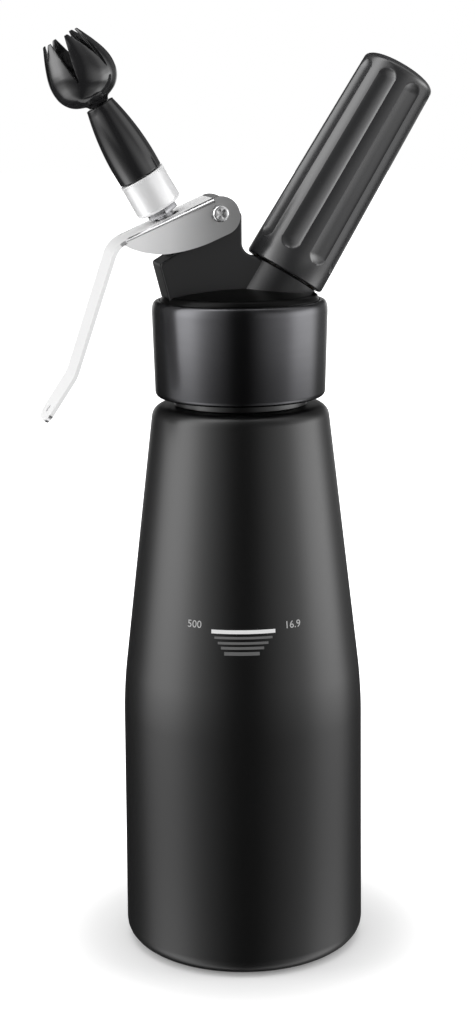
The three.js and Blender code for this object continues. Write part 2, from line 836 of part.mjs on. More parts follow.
function nozzleBody() {
  const flank = curve(
    [nozzleBaseRadius, nozzleBottom + nozzleEdge],
    [(nozzleBaseRadius + nozzleTopRadius) / 2 + 2 * nozzleBulge, (nozzleBottom + nozzleTop) / 2],
    [nozzleTopRadius, nozzleTop - nozzleEdge],
  );
  const body = turned([
    [nozzleSocketRadius, nozzleBottom],
    [nozzleBaseRadius - nozzleEdge, nozzleBottom],
    ...flank,
    [nozzleTopRadius - nozzleEdge, nozzleTop],
    [nozzleBoreRadius, nozzleTop],
    [nozzleBoreRadius, nozzleSocketTop],
    [nozzleSocketRadius, nozzleSocketTop],
  ], bodySides);
  return body.add(threadRidge({
    root: nozzleSocketRadius,
    crest: studRootRadius + fitGap,
    rootWidth: fineRidgeRootWidth,
    crestWidth: fineRidgeCrestWidth,
    pitch: studPitch,
    start: adapterTop + fineThreadLead + studPitch / 2,
    turns: studThreadTurns,
    stepsPerTurn: fineThreadStepsPerTurn,
  }));
}

function nozzleSeal() {
  const top = nozzleSocketTop - fitGap;
  return ring(nozzleBoreRadius, nozzleSocketRadius - fitGap, top - nozzleSealThickness, top, smallSides);
}

function tulipCrown() {
  const base = nozzleTop + fitGap;
  const tip = base + crownHeight;
  const cavityFloor = base + crownFloor;
  const outerAt = ([rise, reach]) => [crownRadius * reach, base + crownHeight * rise];
  const outer = [...crownLowerShares, ...crownUpperShares].map(outerAt);
  const innerAt = ([radius, height]) => [radius - crownWall, height];
  const bowl = outer.filter(([, height]) => height > cavityFloor + crownWall);
  const body = turned([
    [crownSpigotBore, base - crownSpigotLength],
    [nozzleBoreRadius - fitGap, base - crownSpigotLength],
    [nozzleBoreRadius - fitGap, base],
    [crownWaistRadius, base],
    ...outer,
    [crownMouthRadius, tip],
    [crownMouthRadius - crownWall / 2, tip],
    ...bowl.map(innerAt).reverse(),
    [crownSpigotBore, cavityFloor],
  ], bodySides);
  const slotOutline = [
    [-petalSlotRootHalfWidth, tip - petalSlotDepth],
    [petalSlotRootHalfWidth, tip - petalSlotDepth],
    [petalSlotHalfWidth, tip + petalSlotRootHalfWidth],
    [-petalSlotHalfWidth, tip + petalSlotRootHalfWidth],
  ];
  const reach = crownRadius + cutOverrun;
  const slots = Array.from({ length: petals }, (_, i) => {
    const slot = platedGeometry(slotOutline, reach).translate(0, reach / 2, 0);
    return solid(slot.rotateZ(petalTurn + (2 * Math.PI * i) / petals));
  });
  return cut(body, slots);
}

// Lever: the sheet runs along the plate, bends down into the handle and kicks out at the tip
function sheetOutline() {
  const upper = [];
  const lower = [];
  let [x, z, heading] = [plateOverhang, plateLift - leverSheet / 2, Math.PI];
  const mark = () => {
    const acrossX = (-Math.sin(heading) * leverSheet) / 2;
    const acrossZ = (Math.cos(heading) * leverSheet) / 2;
    upper.push([x - acrossX, z - acrossZ]);
    lower.push([x + acrossX, z + acrossZ]);
  };
  const straight = (length) => {
    x += length * Math.cos(heading);
    z += length * Math.sin(heading);
    mark();
  };
  const bend = (angle, radius, steps) => {
    const halfStep = angle / steps / 2;
    const chord = 2 * radius * Math.sin(Math.abs(halfStep));
    for (let i = 0; i < steps; i += 1) {
      heading += halfStep;
      straight(chord);
      heading += halfStep;
    }
  };
  mark();
  straight(plateLength + plateOverhang);
  bend(handleBend, handleBendRadius, arcSteps);
  const bendEnd = [x, z, heading];
  straight(handleLength);
  bend(-kickBend, kickBendRadius, cornerSteps);
  straight(kickLength);
  return { outline: [...upper, ...lower.reverse()], bendEnd, tip: [x, z] };
}

function lever() {
  const { outline, bendEnd, tip } = sheetOutline();
  const [bendX, bendZ, heading] = bendEnd;
  const tipReach = Math.hypot(tip[0] - bendX, tip[1] - bendZ);
  const halfWidth = leverWidth / 2;
  const cornerAlong = tipReach - handleTipCorner;
  const cornerAcross = handleTipHalfWidth - handleTipCorner;
  const tipArc = [
    ...arc(cornerAlong, -cornerAcross, handleTipCorner, -Math.PI / 2, 0, cornerSteps),
    ...arc(cornerAlong, cornerAcross, handleTipCorner, 0, Math.PI / 2, cornerSteps),
  ];
  const plan = [
    [-tipReach, -halfWidth],
    [0, -halfWidth],
    ...tipArc,
    [0, halfWidth],
    [-tipReach, halfWidth],
  ];
  const planShape = new THREE.Shape(plan.map(([along, across]) => new THREE.Vector2(along, across)));
  const planDepth = 2 * (plateLength + handleBendRadius);
  const planCut = new THREE.ExtrudeGeometry(planShape, { depth: planDepth, bevelEnabled: false });
  planCut.translate(0, 0, -planDepth / 2).rotateY(-heading).translate(bendX, 0, bendZ);
  const hole = rodGeometry(handleHoleRadius, -kickLength, kickLength, smallSides);
  hole.translate(tipReach - handleHoleInset, 0, 0).rotateY(-heading).translate(bendX, 0, bendZ);
  const sheet = plated(outline, leverWidth).intersect(solid(planCut));
  const endCentre = [0, plateLift - cheekEndRadius];
  const cheekOutline = [
    ...arc(...endCentre, cheekEndRadius, Math.PI / 2, -Math.PI / 2, 2 * arcSteps),
    ...cheekEdgeShares.map(([along, down]) => [-cheekLength * along, -cheekDrop * down]),
    [-cheekLength, plateLift - leverSheet],
    [-plateLength, plateLift],
  ];
  const cheekReach = halfWidth - leverSheet / 2;
  const cheeks = [-cheekReach, cheekReach].map((across) => {
    return solid(platedGeometry(cheekOutline, leverSheet).translate(0, across, 0));
  });
  const pinHole = rodGeometry(pivotRadius + fitGap, -leverWidth, leverWidth, smallSides);
  const slotReach = stemSlotHalfLength - stemSlotHalfWidth;
  const slot = [
    ...arc(-stemSlotStation + slotReach, 0, stemSlotHalfWidth, -Math.PI / 2, Math.PI / 2),
    ...arc(-stemSlotStation - slotReach, 0, stemSlotHalfWidth, Math.PI / 2, (3 * Math.PI) / 2),
  ];
  const slotShape = new THREE.Shape(slot.map(([along, across]) => new THREE.Vector2(along, across)));
  const slotCut = new THREE.ExtrudeGeometry(slotShape, { depth: 2 * plateLift, bevelEnabled: false });
  return cut(join([sheet, ...cheeks]), [hole, pinHole.rotateX(Math.PI / 2), slotCut].map(solid));
}

// Pivot screw with a cross recess at the front, and its nut at the back
function pivotScrew() {
  const headFace = leverWidth / 2 + fitGap;
  const headTop = headFace + pivotHeadHeight;
  const tail = leverWidth / 2 + fitGap + pivotNutHeight;
  const body = turned([
    [0, -tail],
    [pivotRadius, -tail],
    [pivotRadius, headFace],
    [pivotHeadRadius, headFace],
    [pivotHeadRadius, headTop - pivotHeadEdge],
    [pivotHeadRadius - pivotHeadEdge, headTop],
    [0, headTop],
  ], smallSides);
  const blade = new THREE.BoxGeometry(2 * pivotRecessReach, pivotRecessWidth, 2 * pivotRecessDepth);
  const blades = [Math.PI / 4, (3 * Math.PI) / 4].map((turn) => {
    return solid(blade.clone().rotateZ(turn).translate(0, 0, headTop));
  });
  return cut(body, blades);
}

function pivotNut() {
  const face = leverWidth / 2 + fitGap;
  return hexNut(pivotRadius + fitGap, pivotNutRadius, -face - pivotNutHeight, -face);
}

// Gas side: check valve, pin carrier, pin and seal, all along the charger axis
const pinCarrierBottom = chargerBoreStart + fitGap;
const pinCarrierTop = pinCarrierBottom + pinCarrierLength;
const pinSealBottom = pinCarrierTop + fitGap;
const chargerTip = pinSealBottom + pinSealThickness + fitGap;

function checkValve() {
  const top = chargerBoreStart - fitGap;
  const bottom = top - checkValveLength;
  return turned([
    [checkValveBore, bottom],
    [checkValveLipRadius, bottom],
    [checkValveRadius - fitGap, top - checkValveHeadLength - fitGap],
    [checkValveRadius, top - checkValveHeadLength],
    [checkValveRadius, top],
    [checkValveBore, top],
  ], smallSides);
}

function pinCarrier() {
  return turned([
    [pinGasHoleRadius, pinCarrierBottom],
    [pinCarrierRadius, pinCarrierBottom],
    [pinCarrierRadius, pinCarrierTop],
    [pinPocketRadius, pinCarrierTop],
    [pinPocketRadius, pinCarrierTop - pinPocketDepth],
    [pinGasHoleRadius, pinCarrierTop - pinPocketDepth],
  ], smallSides);
}

function piercingPin() {
  const base = pinCarrierTop - pinPocketDepth + fitGap;
  const point = chargerTip + pinReach;
  return turned([
    [0, base],
    [pinBaseRadius, base],
    [pinBaseRadius, base + pinBaseThickness],
    [pinRadius, base + pinBaseThickness],
    [pinRadius, point - pinPointLength],
    [0, point],
  ], smallSides);
}

function pinSeal() {
  return ring(pinSealBore, pinSealRadius, pinSealBottom, pinSealBottom + pinSealThickness, smallSides);
}

function gasCharger() {
  const top = chargerTip + chargerLength;
  const shoulder = chargerTip + chargerTubeLength;
  const bodyStart = shoulder + chargerShoulderLength;
  const domeStart = top - chargerDomeLength;
  const innerRadius = chargerRadius - chargerWall;
  const innerTop = top - chargerWall;
  const shoulderCorner = shoulder + chargerWall;
  const rounding = (radius, corner, narrow) => [[radius, bodyStart], [radius, corner], [narrow, shoulder]];
  const dome = (radius, end) => [[radius, domeStart], [radius, end], [radius / 2, end]];
  return turned([
    [0, innerTop],
    ...curve(...dome(innerRadius, innerTop), innerArcSteps).reverse(),
    ...curve(...rounding(innerRadius, shoulderCorner, chargerTubeBore), innerArcSteps),
    [chargerTubeBore, chargerTip + chargerCapThickness],
    [chargerPuncture, chargerTip + chargerCapThickness],
    [chargerPuncture, chargerTip],
    [chargerTubeRadius, chargerTip],
    ...curve(...rounding(chargerRadius, shoulderCorner, chargerTubeRadius)).reverse(),
    ...curve(...dome(chargerRadius, top)),
    [0, top],
  ], bodySides);
}

// Charger holder: a fluted shell, a threaded insert at its mouth and a pad at its end
const insertBottom = holderBottom + fitGap;
const insertTop = insertBottom + insertLength;
const insertBoreRadius = chargerNeckRootRadius + chargerThreadDepth + fitGap;
const holderCavityTop = chargerTip + chargerLength + padThickness + 2 * fitGap;
const holderTop = holderCavityTop + holderEndThickness;

function holderOutlineRadius(station) {
  const share = (station - holderBottom) / (holderTop - holderTopEdgeHeight - holderBottom);
  return THREE.MathUtils.lerp(holderBottomRadius, holderTopRadius, Math.min(1, share));
}

function holderShell() {
  const edgeStation = holderTop - holderTopEdgeHeight;
  const fluteLow = holderBottom + fluteStart;
  const fluteHigh = edgeStation - fluteEndInset;
  const stations = [
    [holderBottom, -holderBottomEdge, 0],
    [holderBottom + holderBottomEdge, 0, 0],
    [fluteLow, 0, 0],
    [fluteLow + fluteRunOut, 0, 1],
    [fluteHigh, 0, 1],
    [fluteHigh + fluteRunOut, 0, 0],
    [edgeStation, 0, 0],
    [holderTop - holderTopEdgeHeight / 4, -holderTopEdgeWidth / 2, 0],
    [holderTop, -holderTopEdgeWidth, 0],
  ];
  const sections = stations.map(([station, inset, depthShare]) => {
    return Array.from({ length: flutes * flutePoints }, (_, i) => {
      const share = i / flutePoints - Math.floor(i / flutePoints);
      const within = Math.min(1, Math.abs(2 * share - 1) / fluteWidthShare);
      const dip = fluteDepth * depthShare * Math.cos((within * Math.PI) / 2);
      const angle = fluteTurn + (2 * Math.PI * (i / flutePoints - 1 / 2)) / flutes;
      const radius = holderOutlineRadius(station) + inset - dip;
      return polar(radius, angle, station);
    });
  });
  return cut(solid(lofted(sections)), [
    rod(insertRadius + fitGap, holderBottom - cutOverrun, insertTop + fitGap, bodySides),
    rod(holderBoreRadius, insertTop, holderCavityTop, bodySides),
  ]);
}

function holderInsert() {
  return ring(insertBoreRadius, insertRadius, insertBottom, insertTop, bodySides).add(threadRidge({
    root: insertBoreRadius,
    crest: chargerNeckRootRadius + fitGap,
    rootWidth: fineRidgeRootWidth,
    crestWidth: fineRidgeCrestWidth,
    pitch: chargerPitch,
    start: chargerSeat + fineThreadLead + chargerPitch / 2,
    turns: insertThreadTurns,
    stepsPerTurn: fineThreadStepsPerTurn,
  }));
}

function holderPad() {
  return rod(padRadius, holderCavityTop - fitGap - padThickness, holderCavityTop - fitGap, smallSides);
}

addPart('bottle_shell', bottleShell(), blackCoat);
addPart('head_gasket', headGasket(), silicone);
addPart('collar_sleeve', collarSleeve(), blackAnodised);
addPart('head_body', headBody(), blackMoulding);

addPart('valve_seat', valveSeat(), plainSteel, valveGroup);
addPart('valve_gland', valveGland(), plainSteel, valveGroup);
addPart('stem_ring', stemRing(), blackRubber, valveGroup);
addPart('valve_stem', valveStem(), plainSteel, valveGroup);
addPart('stem_seal', stemSeal(), blackRubber, valveGroup);
const retainerTop = sealTop - sealLength - fitGap;
const retainerBottom = retainerTop - retainerLength;
const retainer = hexNut(stemTipRadius + fitGap, retainerRadius, retainerBottom, retainerTop);
addPart('seal_retainer', retainer, plainSteel, valveGroup);
addPart('thrust_washer', thrustWasher(), plainSteel, valveGroup);
const lockNutTop = lockNutStation + lockNutThickness;
const lockNut = hexNut(stemBodyRadius + fitGap, lockNutRadius, lockNutStation, lockNutTop);
addPart('adapter_lock_nut', lockNut, polishedSteel, valveGroup);
addPart('valve_spring', valveSpring(), springSteel, valveGroup);
addPart('nozzle_adapter', nozzleAdapter(), polishedSteel, valveGroup);
addPart('nozzle_seal', nozzleSeal(), blackRubber, valveGroup);
addPart('nozzle_body', nozzleBody(), glossMoulding, valveGroup);
addPart('tulip_crown', tulipCrown(), glossMoulding, valveGroup);

addPart('squeeze_lever', lever(), polishedSteel, leverGroup);
const screwGroup = new THREE.Group();
screwGroup.rotation.x = Math.PI / 2;
pivotGroup.add(screwGroup);
addPart('pivot_screw', pivotScrew(), polishedSteel, screwGroup);
addPart('pivot_nut', pivotNut(), polishedSteel, screwGroup);

addPart('check_valve', checkValve(), blackRubber, chargerGroup);
addPart('pin_carrier', pinCarrier(), brass, chargerGroup);
addPart('piercing_pin', piercingPin(), plainSteel, chargerGroup);
addPart('pin_seal', pinSeal(), blackRubber, chargerGroup);
addPart('gas_charger', gasCharger(), plainSteel, chargerGroup);
addPart('holder_insert', holderInsert(), brass, chargerGroup);
addPart('holder_pad', holderPad(), blackRubber, chargerGroup);
addPart('holder_shell', holderShell(), ribbedMoulding, chargerGroup);

export default dispenser;
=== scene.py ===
import math

import bmesh
import bpy
from mathutils import Matrix, Vector


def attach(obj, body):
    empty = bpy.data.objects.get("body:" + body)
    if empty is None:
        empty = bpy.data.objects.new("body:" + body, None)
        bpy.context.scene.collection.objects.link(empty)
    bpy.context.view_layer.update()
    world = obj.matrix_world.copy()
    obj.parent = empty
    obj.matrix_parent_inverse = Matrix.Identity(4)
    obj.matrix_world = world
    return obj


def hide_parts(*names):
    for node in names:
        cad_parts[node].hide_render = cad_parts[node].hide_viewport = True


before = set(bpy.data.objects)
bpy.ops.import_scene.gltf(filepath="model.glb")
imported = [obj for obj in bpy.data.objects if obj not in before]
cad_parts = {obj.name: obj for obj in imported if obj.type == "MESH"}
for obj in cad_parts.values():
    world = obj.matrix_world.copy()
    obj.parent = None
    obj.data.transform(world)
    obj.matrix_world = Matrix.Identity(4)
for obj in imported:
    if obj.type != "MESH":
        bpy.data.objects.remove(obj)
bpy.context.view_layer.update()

# Shapes are written in millimetres and placed in metres
MM = 0.001
# Points closer than this are one point
WELD = 0.001
# A cutter runs this far past what it cuts
PAST = 2
# Sides of the big turned pieces, the small ones, the screw, the holes and the finest holes
SIDES, FINE_SIDES, SCREW_SIDES, HOLE_SIDES, DRILL_SIDES = 128, 64, 48, 32, 24
# Segments of a rounded corner in an outline, and of the bevel that softens an edge
CORNER_STEPS, EDGE_STEPS = 6, 2
FULL_TURN, QUARTER_TURN = 2 * math.pi, math.pi / 2


def leaning(x, z, degrees):
    """A frame at a point of the XZ plane, turned about Y."""
    return Matrix.Translation((x, 0, z)) @ Matrix.Rotation(math.radians(degrees), 4, "Y")


# Where the pivot screw crosses the XZ plane
PIVOT_X, PIVOT_Z = -8.085, 243.423
# Frames of the valve, the charger, the lever and the pivot screw, whose Z runs towards the front
UPRIGHT = Matrix.Identity(4)
VALVE = leaning(0, 201.5, -30.2)
CHARGER = leaning(0, 200, 31.5)
LEVER = leaning(PIVOT_X, PIVOT_Z, -23.6)
SCREW = leaning(PIVOT_X, PIVOT_Z, 0) @ Matrix.Rotation(QUARTER_TURN, 4, "X")


# Materials

# The colour sockets of a Mix node, whose names repeat
MIX_A, MIX_B, MIX_RESULT = 6, 7, 2
# Size in mm of the slow change between the two tones of a finish
CLOUD = 14
# How the lever's cheeks turn to metal with Object X, and the painted shade that darkens them towards the
# pivot
CHEEK_METAL = {"From Min": -0.034, "From Max": -0.01, "To Min": 0.25, "To Max": 1.0}
CHEEK_SHADE = {"From Min": -0.024, "From Max": -0.003, "To Min": 1.0, "To Max": 0.5}


def linear(code):
    """sRGB hex to a linear colour."""
    shares = [int(code[i:i + 2], 16) / 255 for i in (0, 2, 4)]
    return [s / 12.92 if s <= 0.04045 else ((s + 0.055) / 1.055) ** 2.4 for s in shares] + [1]


def add(tree, kind, inputs=None, **settings):
    """Adds a shader node with its settings, input values and links."""
    made = tree.nodes.new("ShaderNode" + kind)
    for key, value in settings.items():
        setattr(made, key, value)
    for key, value in (inputs or {}).items():
        if isinstance(value, bpy.types.NodeSocket):
            tree.links.new(value, made.inputs[key])
        else:
            made.inputs[key].default_value = value
    return made


def per_metre(size):
    """Noise scale at which one grain is this many millimetres."""
    return 1 / (size * MM)


def finish_of(name, code, worn, roughness, spread, grain, bump,
              metallic=0.0, ior=None, specular=None, stretch=(1, 1, 1)):
    """A procedural finish: two close tones, uneven gloss and a fine relief.

    grain is the relief's size in mm and bump its height in mm. spread is how far the roughness varies.
    """
    material = bpy.data.materials.new(name)
    material.use_nodes = True
    tree = material.node_tree
    surface = tree.nodes["Principled BSDF"]
    place = add(tree, "TexCoord").outputs["Object"]
    placed = add(tree, "Mapping", {"Vector": place, "Scale": stretch}).outputs["Vector"]
    cloud = add(tree, "TexNoise", {"Vector": placed, "Scale": per_metre(CLOUD), "Detail": 3.0}).outputs["Fac"]
    fine = add(tree, "TexNoise", {"Vector": placed, "Scale": per_metre(grain), "Detail": 2.0}).outputs["Fac"]
    tone = add(tree, "Mix", {"Factor": cloud}, data_type="RGBA")
    tone.inputs[MIX_A].default_value = linear(code)
    tone.inputs[MIX_B].default_value = linear(worn)
    gloss = add(tree, "MapRange", {"Value": fine, "To Min": roughness - spread, "To Max": roughness + spread})
    relief = add(tree, "Bump", {"Height": fine, "Distance": bump * MM, "Strength": 1.0})
    tree.links.new(tone.outputs[MIX_RESULT], surface.inputs["Base Color"])
    tree.links.new(gloss.outputs[0], surface.inputs["Roughness"])
    tree.links.new(relief.outputs[0], surface.inputs["Normal"])
    surface.inputs["Metallic"].default_value = metallic
    if ior:
        surface.inputs["IOR"].default_value = ior
    if specular:
        surface.inputs["Specular IOR Level"].default_value = specular
    return material


def graded(material):
    """Makes a finish more metallic with Object X, from the handle to the pivot, and paints shade into it
    there.
    """
    tree = material.node_tree
    surface = tree.nodes["Principled BSDF"]
    place = add(tree, "TexCoord").outputs["Object"]
    level = add(tree, "SeparateXYZ", {"Vector": place}).outputs["X"]
    metal = add(tree, "MapRange", {"Value": level, **CHEEK_METAL})
    shade = add(tree, "MapRange", {"Value": level, **CHEEK_SHADE})
    bright = surface.inputs["Base Color"].links[0].from_socket
    # Painted shade: the base colour is scaled down towards the pivot
    scaled = add(tree, "VectorMath", {0: bright, "Scale": shade.outputs[0]}, operation="SCALE")
    tree.links.new(scaled.outputs[0], surface.inputs["Base Color"])
    tree.links.new(metal.outputs[0], surface.inputs["Metallic"])


# Polyester powder coat, baked: a soft sheen over a fine orange peel about 0.4 mm across
POWDER_COAT = finish_of("matte_powder_coat", "070707", "0a0a0b", 0.33, 0.05, 0.4, 0.006, ior=1.5)
# Black anodised aluminium, turned: a dark metal whose faint turning lines blur its reflections
ANODISED = finish_of(
    "black_anodised_aluminium", "4c4c4e", "515153", 0.24, 0.03, 0.2, 0.001,
    metallic=1.0, stretch=(1, 1, 8))
# Glass filled nylon, moulded: a flat grey black with a soft highlight
NYLON = finish_of("moulded_nylon", "1c1c1d", "202021", 0.38, 0.04, 0.3, 0.004, ior=1.52)
# A near black copy of the nylon that mirrors little: painted shade on the head's dome, flange and left end
SHADE_PAINTED_NYLON = finish_of("nylon_with_painted_shade", "040404", "050505", 0.3, 0.02, 0.4, 0.002, specular=0.08)
# The same nylon from a finer mould, painted a little lighter as painted light on the charger holder
HOLDER_NYLON_PAINTED_LIGHT = finish_of(
    "satin_nylon_painted_light", "2b2b2c", "313132", 0.25, 0.05, 0.35, 0.006,
    ior=1.68)
# Polypropylene from a polished mould: nearly a mirror, with a slight waviness from shrinking
GLOSS_PLASTIC = finish_of(
    "polished_polypropylene", "1e1e1f", "212122", 0.11, 0.02, 2.5, 0.006,
    ior=1.6)
# Stainless steel sheet, buffed: bright, with faint streaks that run along the lever
BUFFED_STEEL = finish_of(
    "buffed_stainless_steel", "ececed", "e4e4e5", 0.3, 0.03, 0.25, 0.0012,
    metallic=1.0, stretch=(0.2, 1, 1))
# Cheeks: a near white, less metallic steel near the handle is painted light; painted shade darkens the pivot
# end
CHEEK_STEEL = finish_of(
    "graded_steel_painted_shade", "f4f4f4", "eaeaeb", 0.3, 0.04, 0.25, 0.0012,
    stretch=(0.2, 1, 1))
graded(CHEEK_STEEL)
# A near white, almost matt copy of the same steel: a painted highlight on the handle and the plate's top
STEEL_PAINTED_HIGHLIGHT = finish_of(
    "white_steel_painted_highlight", "fcfcfc", "f8f8f8", 0.34, 0.04, 0.25, 0.002,
    metallic=0.15)
# Stainless bar, turned fine: a white satin with one soft band
TURNED_STEEL = finish_of(
    "turned_stainless_steel", "f4f4f4", "eeeeef", 0.3, 0.03, 0.2, 0.001,
    metallic=0.3, stretch=(1, 1, 6))
# Stainless steel as machined, which is greyer and blurs what it mirrors
PLAIN_STEEL = finish_of(
    "machined_stainless_steel", "b2b2b4", "a6a6a9", 0.28, 0.06, 0.2, 0.002,
    metallic=1.0)
# Drawn spring wire, with its dull drawn skin
SPRING_WIRE = finish_of(
    "drawn_spring_steel", "8f8f92", "85858a", 0.36, 0.06, 0.15, 0.002,
    metallic=1.0)
# Deep drawn charger steel, bare and faintly scratched
CHARGER_STEEL = finish_of(
    "drawn_charger_steel", "a4a5a8", "94959a", 0.3, 0.07, 0.3, 0.003,
    metallic=1.0)
# Free cutting brass, turned: warm and slightly tarnished
BRASS = finish_of("turned_brass", "c2a25c", "ad8d49", 0.26, 0.06, 0.2, 0.002, metallic=1.0)
# Silicone rubber, moulded: milky and dull
SILICONE = finish_of("moulded_silicone", "c9ccc9", "bfc3c0", 0.55, 0.05, 0.3, 0.004, ior=1.41)
# Nitrile rubber, moulded: dull black that shows the mould's fine texture
RUBBER = finish_of("nitrile_rubber", "1a1a1a", "222222", 0.65, 0.06, 0.25, 0.006, ior=1.52)
# White and grey screen ink, printed on the coat: flat, with a slight grain
WHITE_INK = finish_of("white_screen_ink", "e2e2e2", "dadada", 0.5, 0.05, 0.3, 0.002, ior=1.5)
GREY_INK = finish_of("grey_screen_ink", "626262", "565656", 0.5, 0.05, 0.3, 0.002, ior=1.5)
PALE_INK = finish_of("pale_screen_ink", "b4b4b4", "a8a8a8", 0.5, 0.05, 0.3, 0.002, ior=1.5)


# Mesh tools

def wire(bm, points, loop=False):
    """A wire in the XZ plane through [radius, height] points. A third number rounds that corner."""
    verts = [bm.verts.new((point[0], 0, point[1])) for point in points]
    for start, end in zip(verts, verts[1:]):
        bm.edges.new((start, end))
    if loop:
        bm.edges.new((verts[-1], verts[0]))
    for vert, point in zip(verts, points):
        if len(point) > 2:
            bmesh.ops.bevel(bm, geom=[vert], offset=point[2], offset_type="OFFSET", segments=CORNER_STEPS,
                            profile=0.5, affect="VERTICES", material=-1)


def turned(points, sides=SIDES):
    """A closed shape spun about Z from an outline that ends on the axis or returns to its start."""
    bm = bmesh.new()
    wire(bm, points, loop=points[0][0] > 0)
    bmesh.ops.spin(bm, geom=bm.verts[:] + bm.edges[:], cent=(0, 0, 0), axis=(0, 0, 1), dvec=(0, 0, 0),
                   angle=FULL_TURN, steps=sides, use_merge=True, use_duplicate=False)
    bmesh.ops.remove_doubles(bm, verts=bm.verts, dist=WELD)
    bmesh.ops.recalc_face_normals(bm, faces=bm.faces)
    return bm


def bent(start, control, end, steps=8):
    """Points of a quadratic curve, as [radius, height]."""
    a, b, c = Vector(start), Vector(control), Vector(end)
    return [list(a.lerp(b, s / steps).lerp(b.lerp(c, s / steps), s / steps)) for s in range(steps + 1)]


# Steps of a thread in one turn, how far its ridge sinks into its wall, the share of its length that
# each end takes to run out, and the share of its height that is left there
THREAD_STEPS, THREAD_SINK, THREAD_RUN, THREAD_END = 48, 0.4, 0.08, 0.3
# Width of the ridge at its root and at its crest, and the pitch: the neck's thread and the fine threads
COARSE = (2.2, 0.8, 4)
FINE = (1.2, 0.5, 2.5)


def threaded(bm, root, crest, form, start, turns, lead_turn=0.0):
    """Adds a screw thread's ridge, whose ends run out into its wall."""
    width, top_width, pitch = form
    steps = round(turns * THREAD_STEPS)
    foot = root - math.copysign(THREAD_SINK, crest - root)
    corners = [(foot, -width / 2), (crest, -top_width / 2), (crest, top_width / 2), (foot, width / 2)]
    ridge = bmesh.new()
    verts = [ridge.verts.new((radius, 0, start + rise)) for radius, rise in corners]
    last = [ridge.edges.new((verts[i], verts[(i + 1) % 4])) for i in range(4)]
    first = last
    turn = FULL_TURN * turns / steps
    for _ in range(steps):
        made = bmesh.ops.spin(ridge, geom=list({v for e in last for v in e.verts}) + last, cent=(0, 0, 0),
                              axis=(0, 0, 1), dvec=(0, 0, pitch * turns / steps), angle=turn, steps=1,
                              use_merge=False, use_duplicate=False)
        last = [g for g in made["geom_last"] if isinstance(g, bmesh.types.BMEdge)]
    bmesh.ops.contextual_create(ridge, geom=first)
    bmesh.ops.contextual_create(ridge, geom=last)
    for vert in ridge.verts:
        radius = math.hypot(vert.co.x, vert.co.y)
        share = (vert.co.z - start) / (pitch * turns)
        run = min(1, max(0, share / THREAD_RUN), max(0, (1 - share) / THREAD_RUN))
        if abs(radius - crest) < abs(radius - foot):
            rise = THREAD_END + (1 - THREAD_END) * math.sin(run * QUARTER_TURN)
            scale = (foot + (crest - foot) * rise) / radius
            vert.co.x *= scale
            vert.co.y *= scale
    bmesh.ops.rotate(ridge, verts=ridge.verts, cent=(0, 0, 0),
                     matrix=Matrix.Rotation(FULL_TURN * lead_turn, 3, "Z"))
    bmesh.ops.recalc_face_normals(ridge, faces=ridge.faces)
    kept = bpy.data.meshes.new("ridge")
    ridge.to_mesh(kept)
    ridge.free()
    bm.from_mesh(kept)
    bpy.data.meshes.remove(kept)
    return bm


def new_verts(made):
    """The vertices that an extrusion made."""
    return [g for g in made["geom"] if isinstance(g, bmesh.types.BMVert)]


def plate(points, width):
    """An outline of [x, z] points in the XZ plane, with rounded corners, extruded to both sides."""
    bm = bmesh.new()
    wire(bm, points, loop=True)
    face = bmesh.ops.contextual_create(bm, geom=bm.edges[:])["faces"][0]
    bmesh.ops.translate(bm, verts=bm.verts, vec=(0, -width / 2, 0))
    made = bmesh.ops.extrude_face_region(bm, geom=[face])
    bmesh.ops.translate(bm, verts=new_verts(made), vec=(0, width, 0))
    bmesh.ops.recalc_face_normals(bm, faces=bm.faces)
    return bm


def rounded(bm, reach, angle, segments):
    """Bevels the edges that are sharper than the angle in degrees."""
    sharp = [e for e in bm.edges if e.is_manifold and e.calc_face_angle() > math.radians(angle)]
    bmesh.ops.bevel(bm, geom=sharp, offset=reach, offset_type="OFFSET", segments=segments, profile=0.5,
                    affect="EDGES", clamp_overlap=True, material=-1)
    return bm


def shown(name, bm, place=UPRIGHT):
    """Turns a bmesh in millimetres into an object at the origin, with its place in its mesh."""
    bm.transform(Matrix.Scale(MM, 4) @ place)
    mesh = bpy.data.meshes.new(name)
    bm.to_mesh(mesh)
    bm.free()
    made = bpy.data.objects.new(name, mesh)
    bpy.context.collection.objects.link(made)
    return made


def settled(made):
    """Applies an object's modifiers."""
    seen = bpy.context.evaluated_depsgraph_get()
    mesh = bpy.data.meshes.new_from_object(made.evaluated_get(seen))
    made.modifiers.clear()
    old = made.data
    made.data = mesh
    bpy.data.meshes.remove(old)
    return made


def carved(made, tools, operation="DIFFERENCE"):
    """Cuts tools away from an object, or joins them to it, and deletes them."""
    for tool in tools:
        change = made.modifiers.new("carve", "BOOLEAN")
        change.operation = operation
        change.solver = "EXACT"
        change.object = tool
    settled(made)
    for tool in tools:
        bpy.data.objects.remove(tool)
    return made


def softened(made, width, angle):
    """Gives sharp edges a small radius."""
    edge = made.modifiers.new("edge", "BEVEL")
    edge.limit_method = "ANGLE"
    edge.angle_limit = math.radians(angle)
    edge.width = width * MM
    edge.segments = EDGE_STEPS
    edge.use_clamp_overlap = True
    edge.harden_normals = False
    return settled(made)


def weighted(made):
    """Keeps big flat faces flat where they meet small bevels."""
    normals = made.modifiers.new("normals", "WEIGHTED_NORMAL")
    normals.keep_sharp = True
    return settled(made)


def dressed(made, body, material, nodes=(), smooth=32):
    """Gives a piece its material, its body and the nodes that it replaces.

    Edges sharper than smooth degrees stay sharp.
    """
    made.data.materials.clear()
    made.data.materials.append(material)
    made.data.shade_smooth()
    made.data.set_sharp_from_angle(angle=math.radians(smooth))
    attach(made, body)
    if nodes:
        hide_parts(*nodes)
    return made


# Bottle: one drawn shell with its neck and thread

